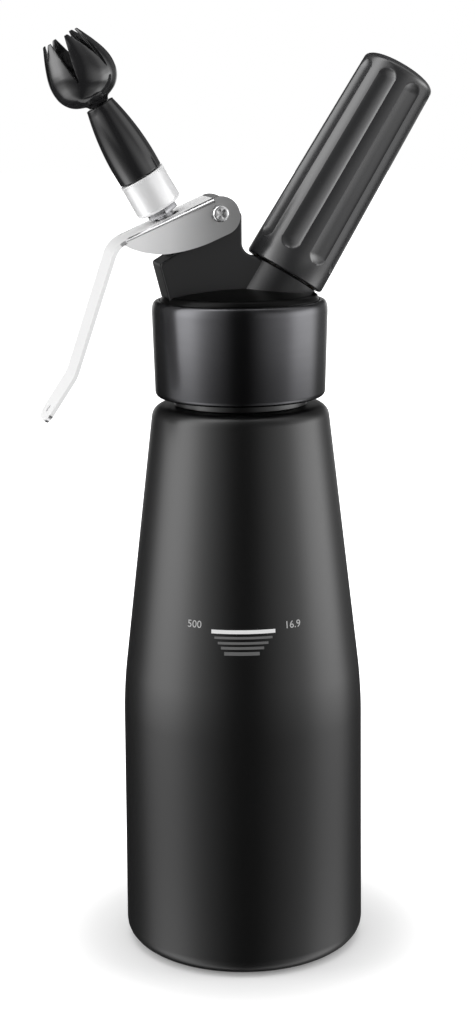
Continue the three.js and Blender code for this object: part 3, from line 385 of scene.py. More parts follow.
# Radii and heights of the belly, of a point near the cone's top, of the shoulder and of the neck
FOOT_RADIUS, BELLY_RADIUS, TOP_RADIUS, NECK_RADIUS = 40, 39.5, 29, 21.2
BELLY, TOP, SHOULDER, RIM = 87.2, 176, 182, 203
# The print stands this far off the coat, and is as thick as this
INK_STAND, INK_THICKNESS = 0.06, 0.04
# Azimuth in degrees, height, length and thickness of the fill line
LINE_AZIMUTH, LINE_HEIGHT, LINE_LENGTH, LINE_WIDTH = -102.4, 115.25, 20.3, 1.2
# Height, length, width and turn in degrees of each fainter line below it
SHADES = [
    (113.35, 18.4, 0.75, 0.0), (111.7, 16, 0.8, -0.2), (110.15, 13.6, 0.85, -0.5), (108.4, 11.2, 1.1, -0.8)]
# Pieces of a bar along its length, which let it wrap round the cone
BAR_STEPS = 24
# Name, text, azimuth in degrees and height of each number, and the size of its figures
FIGURES = [("fill_number_left", "500", -127.6, 117.0), ("fill_number_right", "16.9", -76.8, 116.6)]
FIGURE_SIZE = 3.3


def bottle():
    outside = [
        [0, 0], [FOOT_RADIUS, 0, 5.8], [BELLY_RADIUS, BELLY, 8], [28.3, SHOULDER, 3.6],
        [NECK_RADIUS, SHOULDER, 0.5], [NECK_RADIUS, RIM, 0.6]]
    inside = [
        [19, RIM, 0.4], [19, 180.7, 2], [27.2, 180.7, 3.4], [38.2, BELLY, 8], [38.7, 2.5, 4.5], [0, 2.5]]
    shell = turned(outside + inside)
    threaded(shell, NECK_RADIUS, 22.4, COARSE, start=188, turns=3)
    return dressed(shown("bottle", shell), "bottle", POWDER_COAT, ["bottle_shell"])


def cone_radius(height):
    """Radius of the bottle's cone."""
    return BELLY_RADIUS + (TOP_RADIUS - BELLY_RADIUS) * (height - BELLY) / (TOP - BELLY)


def wrapped(bm, azimuth, height):
    """Lays a flat drawing in the XY plane on the cone, centred at an azimuth in degrees and a height."""
    for vert in bm.verts:
        level = height + vert.co.y
        radius = cone_radius(level) + INK_STAND
        angle = math.radians(azimuth) + vert.co.x / cone_radius(height)
        vert.co = (radius * math.cos(angle), radius * math.sin(angle), level)
    return bm


def ink(name, bm, material):
    """A printed piece on the bottle, as thick as its ink."""
    made = shown(name, bm)
    skin = made.modifiers.new("ink", "SOLIDIFY")
    skin.thickness = INK_THICKNESS * MM
    skin.offset = -1
    return dressed(settled(made), "bottle", material)


def bar(width, length):
    """A flat bar in the XY plane."""
    bm = bmesh.new()
    bmesh.ops.create_grid(bm, x_segments=BAR_STEPS, y_segments=1, size=0.5)
    bmesh.ops.scale(bm, vec=(length, width, 1), verts=bm.verts)
    return bm


def figures(name, text, azimuth, level):
    """Plain figures printed on the cone."""
    line = bpy.data.curves.new(name, "FONT")
    line.body = text
    line.size = FIGURE_SIZE
    line.align_x = "CENTER"
    line.align_y = "CENTER"
    line.resolution_u = 4
    holder = bpy.data.objects.new(name + "_line", line)
    bpy.context.collection.objects.link(holder)
    seen = bpy.context.evaluated_depsgraph_get()
    flat = bpy.data.meshes.new_from_object(holder.evaluated_get(seen))
    bpy.data.objects.remove(holder)
    bm = bmesh.new()
    bm.from_mesh(flat)
    bpy.data.meshes.remove(flat)
    bmesh.ops.remove_doubles(bm, verts=bm.verts, dist=WELD)
    return ink(name, wrapped(bm, azimuth, level), PALE_INK)


def fill_mark():
    """The fill line, with fainter lines below it, and a plain number on each side."""
    ink("fill_line", wrapped(bar(LINE_WIDTH, LINE_LENGTH), LINE_AZIMUTH, LINE_HEIGHT), WHITE_INK)
    for i, (level, length, width, shift) in enumerate(SHADES):
        ink(f"fill_shade_{i + 1}", wrapped(bar(width, length), LINE_AZIMUTH + shift, level), GREY_INK)
    for row in FIGURES:
        figures(*row)


# Collar and head

# The block between the valve's and the charger's arms: its thickness, the round top of the pivot post,
# the flat beside it and the saddle below it
BLOCK_THICKNESS = 14
POST_RADIUS, POST_FROM, POST_SWEEP, POST_STEPS = 3.7, 203.6, 113.6, 8
POST_SIDE, SADDLE_DROP = 7.5, 12
# Heights below which what faces up, and anything at all, gets the near black nylon of painted shade
DOME_TOP, CAP_TOP = 220.5, 217.6
# Shares of a face's normal past which it faces up, or left as the block's narrow end does, for that painted
# shade
FACES_UP, FACES_LEFT = 0.9, -0.85
# The hole for the pivot screw
PIN_HOLE = [[0, -20], [1.8, -20], [1.8, 20], [0, 20]]


def collar():
    # It widens a little up to a rounded lip, which stands round the flange
    lip = bent([28.2, 212.2], [28.2, 215.6], [26.3, 215.6])
    sleeve = turned([
        [24.6, 184.6, 0.4], [27.4, 184.6, 1.8], *lip, [25.8, 215.6, 0.1], [25.8, 214, 0.1], [24.6, 214, 0.3]])
    return dressed(shown("collar", sleeve), "head", ANODISED, ["collar_sleeve"])


def along(frame_of, x, z):
    """A point of a frame, as [x, z] of the XZ plane."""
    point = frame_of @ Vector((x, 0, z))
    return [point.x, point.z]


def head():
    # Roof and skirt inside, then the flange and the dome
    cap = turned([
        [0, 206.1], [22.75, 206.1, 0.5], [22.75, 185.4, 0.4], [24.3, 185.4, 0.4], [24.3, 214.3, 0.2],
        [25.5, 214.3, 0.3], [25.5, 215.7, 0.4], [24.3, 217.3, 0.8], [12.5, 219.6, 9], [0, 219.8],
    ])
    threaded(cap, 22.75, 21.55, COARSE, start=187, turns=2.75, lead_turn=0.25)
    bearings = [math.radians(POST_FROM - POST_SWEEP * i / POST_STEPS) for i in range(POST_STEPS + 1)]
    post = [[PIVOT_X + POST_RADIUS * math.cos(a), PIVOT_Z + POST_RADIUS * math.sin(a)] for a in bearings]
    block = plate([
        [-23.8, 215], along(VALVE, -10.1, 36.5) + [0.8], along(VALVE, 7.5, 36.5), *post,
        [PIVOT_X + POST_SIDE, PIVOT_Z, 1.2], [PIVOT_X + POST_SIDE, PIVOT_Z - SADDLE_DROP, 2.4],
        along(CHARGER, -11.6, 27.2) + [0.5], along(CHARGER, 11.6, 27.2), [24.5, 215],
    ], BLOCK_THICKNESS)
    rounded(block, 0.7, angle=60, segments=3)
    boss = turned([[0, 16.5], [12, 16.5], [12, 27.6, 0.5], [9.5, 27.6, 0.3], [9.5, 35.7, 0.6], [0, 35.7]])
    threaded(boss, 9.5, 10.4, FINE, start=29.6, turns=1.9)
    valve_bore = turned([
        [0, 0], [5.2, 0], [5.2, 14.6], [3.5, 14.6], [3.5, 16.4], [4.8, 16.4], [4.8, 45], [0, 45]], FINE_SIDES)
    charger_bore = turned([
        [0, 18.5], [3.2, 18.5], [3.2, 25.2], [4.8, 25.2], [4.8, 45], [0, 45]], FINE_SIDES)
    port = turned([[0, 203], [1.3, 203], [1.3, 217], [0, 217]], DRILL_SIDES)
    port.transform(Matrix.Translation((along(CHARGER, 0, 18.5)[0], 0, 0)))
    made = shown("head", cap)
    carved(made, [shown("block", block), shown("boss", boss, CHARGER)], "UNION")
    carved(made, [shown("valve_bore", valve_bore, VALVE), shown("charger_bore", charger_bore, CHARGER),
                  shown("port", port), shown("pin_hole", turned(PIN_HOLE, DRILL_SIDES), SCREW)])
    dressed(made, "head", NYLON, ["head_body"])
    weighted(made)
    # Painted shade: the dome's upward faces, everything below the cap's top and the block's left end get the
    # near black copy of the nylon
    made.data.materials.append(SHADE_PAINTED_NYLON)
    for face in made.data.polygons:
        on_dome = face.normal.z > FACES_UP and face.center.z < DOME_TOP * MM
        if on_dome or face.center.z < CAP_TOP * MM or face.normal.x < FACES_LEFT:
            face.material_index = 1


# Valve, adapter, nozzle and crown, all along the valve axis

def hole_through(radius, bottom, top):
    """A cutter for a round hole."""
    return turned([[0, bottom], [radius, bottom], [radius, top], [0, top]], HOLE_SIDES)


def hexagon(bore, radius, bottom, top, edge):
    """A six sided block, and the hole to cut in it."""
    bm = bmesh.new()
    bmesh.ops.create_circle(bm, cap_ends=True, segments=6, radius=radius)
    made = bmesh.ops.extrude_face_region(bm, geom=bm.faces[:])
    bmesh.ops.translate(bm, verts=new_verts(made), vec=(0, 0, top - bottom))
    bmesh.ops.translate(bm, verts=bm.verts, vec=(0, 0, bottom))
    bmesh.ops.recalc_face_normals(bm, faces=bm.faces)
    rounded(bm, edge, angle=35, segments=2)
    return bm, hole_through(bore, bottom - PAST, top + PAST)


def nut(name, bore, radius, bottom, top, edge, place, body, material, node):
    """A hexagon nut."""
    block, hole = hexagon(bore, radius, bottom, top, edge)
    made = carved(shown(name, block, place), [shown("hole", hole, place)])
    return dressed(made, body, material, [node])


def valve():
    # The gland guides the stem
    gland = turned([
        [3.3, 32.1], [4.5, 32.1, 0.3], [4.5, 36.8], [6.3, 36.8, 0.3], [6.3, 38.8, 0.4], [4.7, 38.8, 0.2],
        [4.7, 37.2], [3.3, 37.2]], FINE_SIDES)
    dressed(shown("gland", gland, VALVE), "head", PLAIN_STEEL, ["valve_gland"])
    # A foot for the seal, the shank, a collar over the spring, one under the washer, and the hollow top
    stem = turned([
        [0, 4.8], [1.6, 4.8, 0.3], [1.6, 12.3], [2.4, 12.3], [2.4, 30.2], [4.4, 30.2, 0.3], [4.4, 31.8, 0.3],
        [3, 31.8], [3, 42.2], [4.6, 42.2, 0.3], [4.6, 43.6, 0.3], [3, 43.6], [3, 57.2, 0.3], [1.4, 57.2, 0.2],
        [1.4, 18.6], [0, 18.6]], FINE_SIDES)
    made = shown("stem", stem, VALVE)
    # Two cross holes open into the stem
    across = Matrix.Translation((0, 0, 20.4)) @ Matrix.Rotation(QUARTER_TURN, 4, "Y")
    port = [[0, -4.4], [1, -4.4], [1, 4.4], [0, 4.4]]
    turn = Matrix.Rotation(QUARTER_TURN, 4, "Z")
    carved(made, [shown("port_x", turned(port, DRILL_SIDES), VALVE @ across),
                  shown("port_y", turned(port, DRILL_SIDES), VALVE @ turn @ across)])
    dressed(made, "valve", PLAIN_STEEL, ["valve_stem"])
    washer = turned([
        [3.3, 43.9, 0.2], [5.6, 43.9, 0.2], [5.6, 44.9, 0.4], [4.3, 45.2, 0.6], [3.3, 45.2, 0.2]], FINE_SIDES)
    dressed(shown("washer", washer, VALVE), "valve", BUFFED_STEEL, ["thrust_washer"])
    nut("lock_nut", 3.3, 5.4, 48.4, 50.1, 0.25, VALVE, "valve", PLAIN_STEEL, "adapter_lock_nut")


# The knurled edge of the adapter: four points to each of 60 teeth, its radii at the tips, at the roots
# and inside, where it starts and how wide it is
KNURL_POINTS, KNURL_TIP, KNURL_ROOT, KNURL_INSIDE = 240, 7.5, 7.22, 7
KNURL_START, KNURL_WIDTH = 60.95, 0.9


def adapter():
    # A cup with a narrow neck, which carries the nozzle's thread
    body = turned([
        [3.3, 50.4], [7.6, 50.4, 1.5], [7.35, 61.9, 0.25], [3.8, 61.9, 0.2], [3.8, 70, 0.4], [1.9, 70, 0.3],
        [1.9, 57.5], [3.3, 57.5]])
    threaded(body, 3.8, 4.7, FINE, start=63.9, turns=2)
    dressed(shown("adapter", body, VALVE), "valve", TURNED_STEEL, ["nozzle_adapter"])
    knurl = bmesh.new()
    bmesh.ops.create_circle(knurl, cap_ends=False, segments=KNURL_POINTS, radius=KNURL_TIP)
    for i, vert in enumerate(knurl.verts):
        # Two points of each four are at a tooth's root
        if i % 4 in (0, 3):
            vert.co *= KNURL_ROOT / KNURL_TIP
    wall = bmesh.ops.extrude_edge_only(knurl, edges=knurl.edges[:])
    bmesh.ops.translate(knurl, verts=new_verts(wall), vec=(0, 0, KNURL_WIDTH))
    bmesh.ops.translate(knurl, verts=knurl.verts, vec=(0, 0, KNURL_START))
    for level in (KNURL_START, KNURL_START + KNURL_WIDTH):
        ring = [e for e in knurl.edges
                if e.is_boundary and all(abs(v.co.z - level) < 0.01 for v in e.verts)]
        for vert in new_verts(bmesh.ops.extrude_edge_only(knurl, edges=ring)):
            flat = KNURL_INSIDE / math.hypot(vert.co.x, vert.co.y)
            vert.co.x *= flat
            vert.co.y *= flat
    bmesh.ops.bridge_loops(knurl, edges=[e for e in knurl.edges if e.is_boundary])
    bmesh.ops.recalc_face_normals(knurl, faces=knurl.faces)
    dressed(shown("adapter_knurl", knurl, VALVE), "valve", TURNED_STEEL, smooth=25)


def nozzle():
    # A slightly swelling cone with a socket in its foot
    flank = bent([7.2, 62.9], [7.725, 74.75], [4.65, 86.7], 14)
    cone = turned([
        [5, 62.3, 0.2], [7.2, 62.3, 0.3], *flank, [4.65, 87.2, 0.3], [2.9, 87.2], [2.9, 71.5], [5, 71.5]])
    threaded(cone, 5, 4.1, FINE, start=65.15, turns=2)
    dressed(shown("nozzle", cone, VALVE), "nozzle", GLOSS_PLASTIC, ["nozzle_body"])


# Heights of the crown's foot and its tips
CROWN_BASE, CROWN_TIP = 87.5, 110.6
# Radii of the crown at heights above its base
CROWN_OUTLINE = [(3.6, 0.9), (5.9, 1.7), (7.7, 2.7), (9.2, 4.3), (10.3, 6.5), (10.7, 9.3), (10.55, 11.8),
                 (9.85, 14.5), (8.5, 17.9)]
# Thickness of the petals, and the height above the base from which the cup is hollow
PETAL_THICKNESS, HOLLOW_START = 1.5, 4.7
# The gap between two petals: half its width at its foot and at its top, their heights and its depth
PETALS, GAP_FOOT, GAP_TOP, GAP_START, GAP_END, GAP_DEPTH = 6, 0.2, 2.5, 96.8, 110.8, 13
# Azimuth in degrees of the first gap
FIRST_GAP = -79


def crown():
    outer = [[radius, CROWN_BASE + rise, 1.0] for radius, rise in CROWN_OUTLINE]
    bowl = [[r - PETAL_THICKNESS, z, 1.0] for r, z, _ in outer if z > CROWN_BASE + HOLLOW_START]
    # A stem that sits in the nozzle, then the cup
    cup = turned([
        [1.7, 80.5], [2.6, 80.5, 0.2], [2.6, CROWN_BASE], [3.4, CROWN_BASE, 0.3], *outer, [6, CROWN_TIP, 0.3],
        [5.25, CROWN_TIP, 0.3], *bowl[::-1], [1.7, 90.7, 0.3]])
    made = shown("crown", cup, VALVE)
    slots = []
    for i in range(PETALS):
        wedge = bmesh.new()
        wire(wedge, [[-GAP_FOOT, GAP_START], [GAP_FOOT, GAP_START], [GAP_TOP, GAP_END], [-GAP_TOP, GAP_END]],
             loop=True)
        face = bmesh.ops.contextual_create(wedge, geom=wedge.edges[:])["faces"][0]
        far = bmesh.ops.extrude_face_region(wedge, geom=[face])
        bmesh.ops.translate(wedge, verts=new_verts(far), vec=(0, GAP_DEPTH, 0))
        bmesh.ops.recalc_face_normals(wedge, faces=wedge.faces)
        turn = Matrix.Rotation(math.radians(FIRST_GAP + 360 / PETALS * i), 4, "Z")
        slots.append(shown(f"slot_{i}", wedge, VALVE @ turn))
    carved(made, slots)
    softened(made, 0.3, angle=50)
    dressed(made, "nozzle", GLOSS_PLASTIC, ["tulip_crown"], smooth=40)


# Lever: a folded sheet with two cheeks, and its screw and nut

# Thickness of the sheet
SHEET = 1.2
# Height of the plate over the pivot, half its width and its length from the pivot to the knee
PLATE_RISE, HALF_WIDTH, PLATE_LENGTH = 5.2, 9, 29.5
# Bends as degrees, radius and steps, and the straight lengths of the handle between them and at its end
KNEE, FLICK = (-47.4, 9.6, 10), (15, -11.4, 6)
HANDLE_LENGTH, TIP_LENGTH = 37.4, 15.5
# How much narrower each side of the handle gets, how far from its end that stops, and the depth over
# which it holds
TAPER, TAPER_STOP, TAPER_DEPTH = 0.8, 4, -9
# Radii of the handle's corners and of the folds between the plate and its cheeks
TIP_ROUND, FOLD_ROUND = 4, 1.6
# Each cheek: its round end, its lower edge as shares of a run and a drop, and its meeting with the knee
CHEEK_END = [(6.1, 5.2, 5.9), (6.1, -7.0, 5.9)]
CHEEK_RUN, CHEEK_DROP = -31.5, -7.1
CHEEK_EDGE = [(0.28, 0.97, 3), (0.5, 0.81, 3), (0.7, 0.54, 2), (0.86, 0.1, 1.5), (0.96, -0.3, 1)]
CHEEK_KNEE = (-31.4, 3.9, 0.3)
# The slot that the stem passes: radius, height of its cutter, half its straight length and its place
SLOT_RADIUS, SLOT_TOP, SLOT_HALF, SLOT_PLACE = 3.5, 9, 0.7, 14.3
# The hanging hole near the handle's end
HOLE_RADIUS, HOLE_DEPTH, HOLE_PLACE = 1.3, 5, 4
# Where the lever's finishes meet: the handle starts beyond the first and the plate's top above the second,
# both with a painted highlight, and the plate's bright rims are above the third and outside the fourth
HANDLE_FROM, PLATE_FROM, RIM_FROM, RIM_SIDE = -30, 4.9, 4.2, 7.4
# Between these shares of sideways normal a face is part of a softened edge
EDGE_NORMALS = (0.2, 0.95)


def lever():
    sheet = bmesh.new()
    starts = [sheet.verts.new((0, side, PLATE_RISE)) for side in (-HALF_WIDTH, HALF_WIDTH)]
    edge = sheet.edges.new(starts)
    pen = Matrix.Translation((0, 0, PLATE_RISE))

    def push(edge, old, new):
        verts = new_verts(bmesh.ops.extrude_edge_only(sheet, edges=[edge]))
        bmesh.ops.transform(sheet, matrix=new @ old.inverted(), verts=verts)
        return next(e for e in sheet.edges if set(e.verts) == set(verts))

    def straight(edge, pen, length):
        new = pen @ Matrix.Translation((-length, 0, 0))
        return push(edge, pen, new), new

    def curl(edge, pen, degrees, radius, steps):
        centre = Matrix.Translation((0, 0, -radius))
        for _ in range(steps):
            new = pen @ centre @ Matrix.Rotation(math.radians(degrees / steps), 4, "Y") @ centre.inverted()
            edge = push(edge, pen, new)
            pen = new
        return edge, pen

    edge, pen = straight(edge, pen, PLATE_LENGTH)
    knees = list(edge.verts)
    edge, pen = curl(edge, pen, *KNEE)
    flare = pen.copy()
    edge, pen = straight(edge, pen, HANDLE_LENGTH)
    edge, pen = curl(edge, pen, *FLICK)
    edge, pen = straight(edge, pen, TIP_LENGTH)
    reach = (flare.inverted() @ pen.translation).length
    for vert in sheet.verts:
        down = -(flare.inverted() @ vert.co).x
        if down > 0.1 and (flare.inverted() @ vert.co).z > TAPER_DEPTH:
            vert.co.y *= 1 - (TAPER / HALF_WIDTH) * min(1, down / (reach - TAPER_STOP))
    tips = list(edge.verts)

    lower = [(CHEEK_RUN * run, CHEEK_DROP * drop, soft) for run, drop, soft in CHEEK_EDGE]
    marks = CHEEK_END + lower + [CHEEK_KNEE]
    for side in (-HALF_WIDTH, HALF_WIDTH):
        start = next(v for v in starts if v.co.y * side > 0)
        knee = next(v for v in knees if v.co.y * side > 0)
        verts = [sheet.verts.new((x, side, z)) for x, z, _ in marks]
        sheet.faces.new([start, *verts, knee])
        for vert, (_, _, soft) in zip(verts, marks):
            bmesh.ops.bevel(sheet, geom=[vert], offset=soft, offset_type="OFFSET", segments=8, profile=0.5,
                            affect="VERTICES", clamp_overlap=True, material=-1)
    bmesh.ops.bevel(sheet, geom=tips, offset=TIP_ROUND, offset_type="OFFSET", segments=10, profile=0.5,
                    affect="VERTICES", material=-1)
    folds = [e for e in sheet.edges if len(e.link_faces) == 2 and e.calc_face_angle() > math.radians(70)]
    bmesh.ops.bevel(sheet, geom=folds, offset=FOLD_ROUND, offset_type="OFFSET", segments=5, profile=0.5,
                    affect="EDGES", material=-1)
    bmesh.ops.recalc_face_normals(sheet, faces=sheet.faces)
    top = max(sheet.faces, key=lambda f: f.calc_area() if abs(f.normal.z) > 0.99 else 0)
    if top.normal.z < 0:
        bmesh.ops.reverse_faces(sheet, faces=sheet.faces)
    made = shown("lever", sheet, LEVER)
    skin = made.modifiers.new("sheet", "SOLIDIFY")
    skin.thickness = SHEET * MM
    skin.offset = -1
    skin.use_even_offset = True
    settled(made)
    slot = turned([[0, 0], [SLOT_RADIUS, 0], [SLOT_RADIUS, SLOT_TOP], [0, SLOT_TOP]], SCREW_SIDES)
    for vert in slot.verts:
        half = math.copysign(SLOT_HALF, vert.co.x) if abs(vert.co.x) > WELD else 0
        vert.co.x += half - SLOT_PLACE
    hole = hole_through(HOLE_RADIUS, -HOLE_DEPTH, HOLE_DEPTH)
    carved(made, [shown("slot", slot, LEVER),
                  shown("hole", hole, LEVER @ pen @ Matrix.Translation((HOLE_PLACE, 0, 0))),
                  shown("pin_hole", turned(PIN_HOLE, HOLE_SIDES), SCREW)])
    softened(made, 0.25, angle=55)
    dressed(made, "lever", CHEEK_STEEL, ["squeeze_lever"], smooth=35)
    weighted(made)
    made.data.materials.append(STEEL_PAINTED_HIGHLIGHT)
    made.data.materials.append(BUFFED_STEEL)
    # Painted light and shade: the cheeks keep the graded steel, the handle and the plate's top get the near
    # white copy as a painted highlight, and the handle's edges and the plate's rims stay buffed metal
    seat = LEVER.inverted()
    for face in made.data.polygons:
        place = seat @ (face.center / MM)
        on_handle = place.x < HANDLE_FROM
        on_edge = EDGE_NORMALS[0] < abs(face.normal.y) < EDGE_NORMALS[1]
        on_rim = place.z > RIM_FROM and abs(place.y) > RIM_SIDE
        if on_handle and on_edge or on_rim:
            face.material_index = 2
        elif on_handle or place.z > PLATE_FROM:
            face.material_index = 1


def pivot():
    body = turned([
        [0, -11.5], [1.5, -11.5, 0.3], [1.5, 9.3], [2.6, 9.3, 0.1], [2.6, 10.8, 0.7], [0, 10.8]], SCREW_SIDES)
    made = shown("screw", body, SCREW)
    blades = []
    # The two arms of the cross recess
    for turn in (45, 135):
        blade = plate([[-1.7, 10], [1.7, 10], [1.5, 11.6], [-1.5, 11.6]], 0.8)
        blades.append(shown(f"blade_{turn}", blade, SCREW @ Matrix.Rotation(math.radians(turn), 4, "Z")))
    carved(made, blades)
    softened(made, 0.08, angle=50)
    dressed(made, "head", BUFFED_STEEL, ["pivot_screw"])
    nut("nut", 1.8, 3, -11.5, -9.3, 0.25, SCREW, "head", BUFFED_STEEL, "pivot_nut")


# Charger holder: a fluted shell

# Radius at the holder's mouth and how much of it is lost over its length
MOUTH_RADIUS, HOLDER_TAPER, MOUTH_STATION, HOLDER_LENGTH = 13.6, 1.45, 28, 72.2
# The flutes: their count, depth, first azimuth and ends along the axis
FLUTES, FLUTE_DEPTH, FLUTE_TURN = 8, 1.05, math.radians(-118)
FLUTE_LOW, FLUTE_HIGH = 34.6, 98.7
# Half a flute's share of its sector, the radius at which that is measured, and how full its section is
FLUTE_SHARE, FLUTE_RADIUS, FLUTE_FULLNESS = 0.31, 12.7, 0.7
# Rings round a flute's end: how far before it they start, their spacing and their count
RING_LEAD, RING_STEP, RINGS = 0.6, 0.3, 15
# Only what is wider than this is on the outside and has flutes
OUTSIDE = 11.8
# Radii and stations of the bore, from its closed end, and of the mouth's rounded lip
BORE = [(9.6, 100), (9.6, 36), (11.7, 36), (11.7, 28.4), (11.9, 28)]
LIP = [(12.6, 28), (13.1, 28.12), (13.4, 28.4), (13.55, 28.9)]
# Stations of the rings between the flutes' ends
MIDDLE_RINGS = [45, 55, 65, 75, 85]
HOLDER_SIDES = 256


def holder_radius(station):
    """Radius of the holder outside its flutes."""
    return MOUTH_RADIUS - HOLDER_TAPER * min(1, max(0, (station - MOUTH_STATION) / HOLDER_LENGTH))


def flute_dip(angle, station):
    """How far a flute with round ends sinks at a point of the holder."""
    sector = FULL_TURN / FLUTES
    offset = (angle - FLUTE_TURN + sector / 2) % sector - sector / 2
    half = FLUTE_SHARE * sector * FLUTE_RADIUS
    beyond = max(FLUTE_LOW + half - station, station - FLUTE_HIGH + half, 0)
    away = math.hypot(offset * FLUTE_RADIUS, beyond) / half
    return FLUTE_DEPTH * math.cos(min(1, away) * QUARTER_TURN) ** FLUTE_FULLNESS


def charger_holder():
    bm = bmesh.new()
    radius, station = BORE[0]
    bmesh.ops.create_circle(bm, cap_ends=True, segments=HOLDER_SIDES, radius=radius)
    bmesh.ops.translate(bm, verts=bm.verts, vec=(0, 0, station))
    ring = bm.edges[:]

    def pull(ring, radius, station):
        made = bmesh.ops.extrude_edge_only(bm, edges=ring)
        for vert in new_verts(made):
            angle = math.atan2(vert.co.y, vert.co.x)
            here = radius - (flute_dip(angle, station) if radius > OUTSIDE else 0)
            vert.co = (here * math.cos(angle), here * math.sin(angle), station)
        return [g for g in made["geom"] if isinstance(g, bmesh.types.BMEdge)
                and all(abs(v.co.z - station) < WELD for v in g.verts)
                and g.is_boundary]

    for radius, station in BORE[1:] + LIP:
        ring = pull(ring, radius, station)
    low = [FLUTE_LOW - RING_LEAD + RING_STEP * i for i in range(RINGS)]
    high = [FLUTE_HIGH + RING_LEAD - RING_STEP * i for i in range(RINGS)][::-1]
    for station in [*low, *MIDDLE_RINGS, *high]:
        ring = pull(ring, holder_radius(station), station)
    # The rounded closed end
    for radius, station in bent([12.15, 99.8], [11.95, 101.75], [7.75, 102.55]):
        ring = pull(ring, radius, station)
    bmesh.ops.contextual_create(bm, geom=ring)
    bmesh.ops.recalc_face_normals(bm, faces=bm.faces)
    # The holder's nylon is painted lighter: painted light
    dressed(shown("holder", bm, CHARGER), "charger_holder", HOLDER_NYLON_PAINTED_LIGHT, ["holder_shell"], smooth=28)


bottle()
fill_mark()
collar()
head()
valve()
adapter()
nozzle()
crown()
lever()
pivot()
charger_holder()

# CAD pieces that keep their shape, and their finishes
KEPT = {
    "head_gasket": SILICONE, "valve_seat": PLAIN_STEEL, "stem_ring": RUBBER, "stem_seal": RUBBER,
    "seal_retainer": PLAIN_STEEL, "valve_spring": SPRING_WIRE, "nozzle_seal": RUBBER, "check_valve": RUBBER,
    "pin_carrier": BRASS, "piercing_pin": PLAIN_STEEL, "pin_seal": RUBBER, "gas_charger": CHARGER_STEEL,
    "holder_insert": BRASS, "holder_pad": RUBBER,
}
for node, material in KEPT.items():
    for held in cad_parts[node].material_slots:
        held.material = material


# Floor, light and camera

# Camera, in metres and radians: it looks at the front from a little to its left
CAMERA_AZIMUTH = math.radians(-13)
CAMERA_DISTANCE, CAMERA_HEIGHT = 0.6206, 0.2822
CAMERA_PITCH, CAMERA_YAW, CAMERA_ROLL = 0.2163, -0.002, -0.0083
# Focal length in pixels of a picture this many pixels high, and the sensor's long side in mm
FOCAL_PIXELS, PICTURE_HEIGHT, SENSOR = 1938.6, 1024, 36

# What the shiny surfaces mirror, by the angle from the camera round to each side: a dark strip at the
# camera, a pale wall, a tall softbox at the side and a black flag behind it
LEFT_WALLS = [(0, 0.04), (6, 0.01), (12, 0.1), (24, 0.55), (40, 1.2), (52, 2.2), (62, 3.8), (70, 4.6),
              (88, 4.3), (101, 2.9), (109, 1.3), (116, 0.2), (150, 0.03), (180, 0.03)]
RIGHT_WALLS = [(0, 0.04), (6, 0.01), (12, 0.02), (22, 0.3), (42, 1.0), (56, 1.4), (65, 1.8), (75, 3.4),
               (83, 4.2), (107, 4.0), (116, 2.0), (125, 0.4), (150, 0.2), (180, 0.2)]
# The same by height, from straight down to straight up: the lit table, its far edge, the walls and lamps
HEIGHTS = [(0.0, 0.3), (0.08, 0.4), (0.17, 0.6), (0.24, 0.36), (0.33, 0.17), (0.37, 0.3), (0.42, 0.84),
           (0.48, 1.0), (0.7, 1.0), (0.85, 0.8), (1.0, 1.0)]
BRIGHTEST = 4.6
# The backdrop behind the object is a low strip: above and below it the studio behind is dark
BACKDROP = [(0.4, 0.1), (0.46, 1.0), (0.53, 1.0), (0.57, 0.04), (0.8, 0.04), (0.9, 0.8)]
BACKDROP_EDGE = {"From Min": 0.84, "From Max": 0.96}
# High on the right the studio is darker
HIGH_RIGHT = {"From Min": 0.1, "From Max": 0.34, "To Min": 1.0, "To Max": 0.3}
# Level of the light that matt surfaces get from all round
SOFT_LIGHT = 0.8

# Radius of the floor and how far it lies below the bottle, in mm
FLOOR_RADIUS, FLOOR_DROP = 6000, 0.05
# The paper's own light rises with the distance from the bottle: its dimming near the bottle is a painted
# shadow round the base, besides the real shadow
FLOOR_GLOW_AND_PAINTED_SHADOW = {"From Min": 0.045, "From Max": 0.105, "To Min": 0.14, "To Max": 1.0}

# Place and size in metres and power in watts of each lamp, and the point that they face
LAMPS = [
    ("left_softbox", (-1.1, 0.1, 0.5), (0.5, 1.4), 4),
    ("right_softbox", (1.1, -0.35, 0.5), (0.5, 1.4), 4),
    ("top_softbox", (0, 0.1, 1.5), (1.2, 1.2), 8),
]
LAMP_AIM = (0, 0, 0.15)


def ramp(tree, value, stops):
    """Levels at values from 0 to 1, with straight runs between them."""
    made = add(tree, "ValToRGB", {"Fac": value})
    elements = made.color_ramp.elements
    while len(elements) < len(stops):
        elements.new(1.0)
    for element, (position, level) in zip(elements, stops):
        element.position = position
        element.color = (level, level, level, 1)
    return made.outputs["Color"]


def maths(tree, operation, *values):
    """One step of arithmetic."""
    return add(tree, "Math", dict(enumerate(values)), operation=operation).outputs[0]


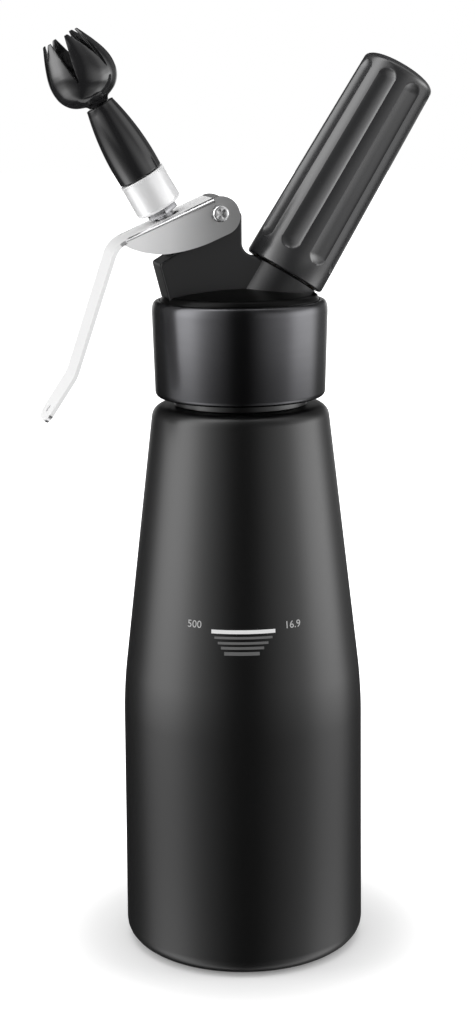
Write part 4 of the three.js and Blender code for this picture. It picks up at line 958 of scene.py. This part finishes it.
def studio():
    """The world: white to the camera, soft all round, and the studio's walls to what is shiny."""
    world = bpy.data.worlds.new("studio")
    bpy.context.scene.world = world
    world.use_nodes = True
    tree = world.node_tree
    sky = tree.nodes["Background"]
    path = add(tree, "LightPath").outputs
    toward = add(tree, "TexCoord").outputs["Generated"]
    facing = add(tree, "VectorRotate", {"Vector": toward, "Angle": -CAMERA_AZIMUTH}, rotation_type="Z_AXIS")
    side = add(tree, "SeparateXYZ", {"Vector": facing.outputs[0]}).outputs
    # 0 is straight behind the camera's left, 0.5 straight behind the object and 1 back at the camera
    bearing = maths(tree, "ARCTAN2", side["X"], side["Y"])
    round_share = maths(tree, "ADD", maths(tree, "DIVIDE", bearing, FULL_TURN), 0.5)
    stops = [(angle / 360, level / BRIGHTEST) for angle, level in LEFT_WALLS]
    stops += [(1 - angle / 360, level / BRIGHTEST) for angle, level in reversed(RIGHT_WALLS[:-1])]
    walls = maths(tree, "MULTIPLY", ramp(tree, round_share, stops), BRIGHTEST)
    height_share = maths(tree, "MULTIPLY_ADD", side["Z"], 0.5, 0.5)
    heights = ramp(tree, height_share, HEIGHTS)
    backdrop = ramp(tree, height_share, BACKDROP)
    behind = add(tree, "MapRange", {"Value": side["Y"], **BACKDROP_EDGE},
                 interpolation_type="SMOOTHSTEP").outputs[0]
    high_right = maths(tree, "MULTIPLY", side["X"], maths(tree, "MAXIMUM", side["Z"], 0.0))
    shelter = add(tree, "MapRange", {"Value": high_right, **HIGH_RIGHT}).outputs[0]
    around = maths(tree, "MULTIPLY", maths(tree, "MULTIPLY", walls, heights), shelter)
    back = maths(tree, "MULTIPLY", behind, backdrop)
    front = maths(tree, "MULTIPLY", around, maths(tree, "SUBTRACT", 1.0, behind))
    mirrored = maths(tree, "ADD", back, front)
    soft = maths(tree, "MULTIPLY", path["Is Diffuse Ray"], SOFT_LIGHT)
    shiny = maths(tree, "MULTIPLY", path["Is Glossy Ray"], mirrored)
    strength = maths(tree, "ADD", maths(tree, "ADD", soft, shiny), path["Is Camera Ray"])
    tree.links.new(strength, sky.inputs["Strength"])
    sky.inputs["Color"].default_value = linear("ffffff")


def floor():
    """White paper under the bottle, which shows the bottle's shadow and a painted shadow round its base."""
    sheet = bmesh.new()
    bmesh.ops.create_circle(sheet, cap_ends=True, segments=64, radius=FLOOR_RADIUS)
    made = shown("floor", sheet, Matrix.Translation((0, 0, -FLOOR_DROP)))
    paper = bpy.data.materials.new("white_paper")
    paper.use_nodes = True
    tree = paper.node_tree
    tree.nodes.clear()
    seen = add(tree, "LightPath").outputs["Is Camera Ray"]
    place = add(tree, "TexCoord").outputs["Object"]
    away = add(tree, "VectorMath", {0: place}, operation="LENGTH").outputs["Value"]
    # Painted shadow: the glow is weaker near the bottle
    glow = add(tree, "MapRange", {"Value": away, **FLOOR_GLOW_AND_PAINTED_SHADOW}, interpolation_type="SMOOTHSTEP").outputs[0]
    matte = add(tree, "BsdfDiffuse", {"Color": linear("e8e8e8")}).outputs[0]
    light = add(tree, "Emission", {"Color": linear("ffffff"), "Strength": glow}).outputs[0]
    both = add(tree, "AddShader", {0: matte, 1: light}).outputs[0]
    mixed = add(tree, "MixShader", {"Fac": seen, 1: matte, 2: both}).outputs[0]
    add(tree, "OutputMaterial", {"Surface": mixed})
    made.data.materials.append(paper)
    made.visible_glossy = False


def lamp(name, place, size, power):
    """A soft lamp that doesn't show in reflections."""
    light = bpy.data.lights.new(name, "AREA")
    light.shape = "RECTANGLE"
    light.size, light.size_y = size
    light.energy = power
    made = bpy.data.objects.new(name, light)
    made.location = place
    made.rotation_mode = "QUATERNION"
    made.rotation_quaternion = (Vector(LAMP_AIM) - Vector(place)).to_track_quat("-Z", "Y")
    made.visible_glossy = False
    bpy.context.collection.objects.link(made)


def camera():
    """The camera, at 621 mm from the object's axis and 282 mm up, looking 12.4 degrees down."""
    flat = math.cos(CAMERA_PITCH)
    ahead = Vector((math.sin(CAMERA_YAW) * flat, math.cos(CAMERA_YAW) * flat, -math.sin(CAMERA_PITCH)))
    level = ahead.cross(Vector((0, 0, 1))).normalized()
    upright = level.cross(ahead)
    right = math.cos(CAMERA_ROLL) * level + math.sin(CAMERA_ROLL) * upright
    up = math.cos(CAMERA_ROLL) * upright - math.sin(CAMERA_ROLL) * level
    data = bpy.data.cameras.new("camera")
    data.sensor_width = SENSOR
    data.lens = FOCAL_PIXELS / PICTURE_HEIGHT * SENSOR
    data.clip_start = 0.01
    made = bpy.data.objects.new("camera", data)
    axes = Matrix((right, up, -ahead)).transposed().to_4x4()
    stand = Matrix.Translation((0, -CAMERA_DISTANCE, CAMERA_HEIGHT))
    made.matrix_world = Matrix.Rotation(CAMERA_AZIMUTH, 4, "Z") @ stand @ axes
    bpy.context.collection.objects.link(made)
    bpy.context.scene.camera = made


studio()
floor()
for row in LAMPS:
    lamp(*row)
camera()
bpy.context.scene.view_settings.view_transform = "Standard"
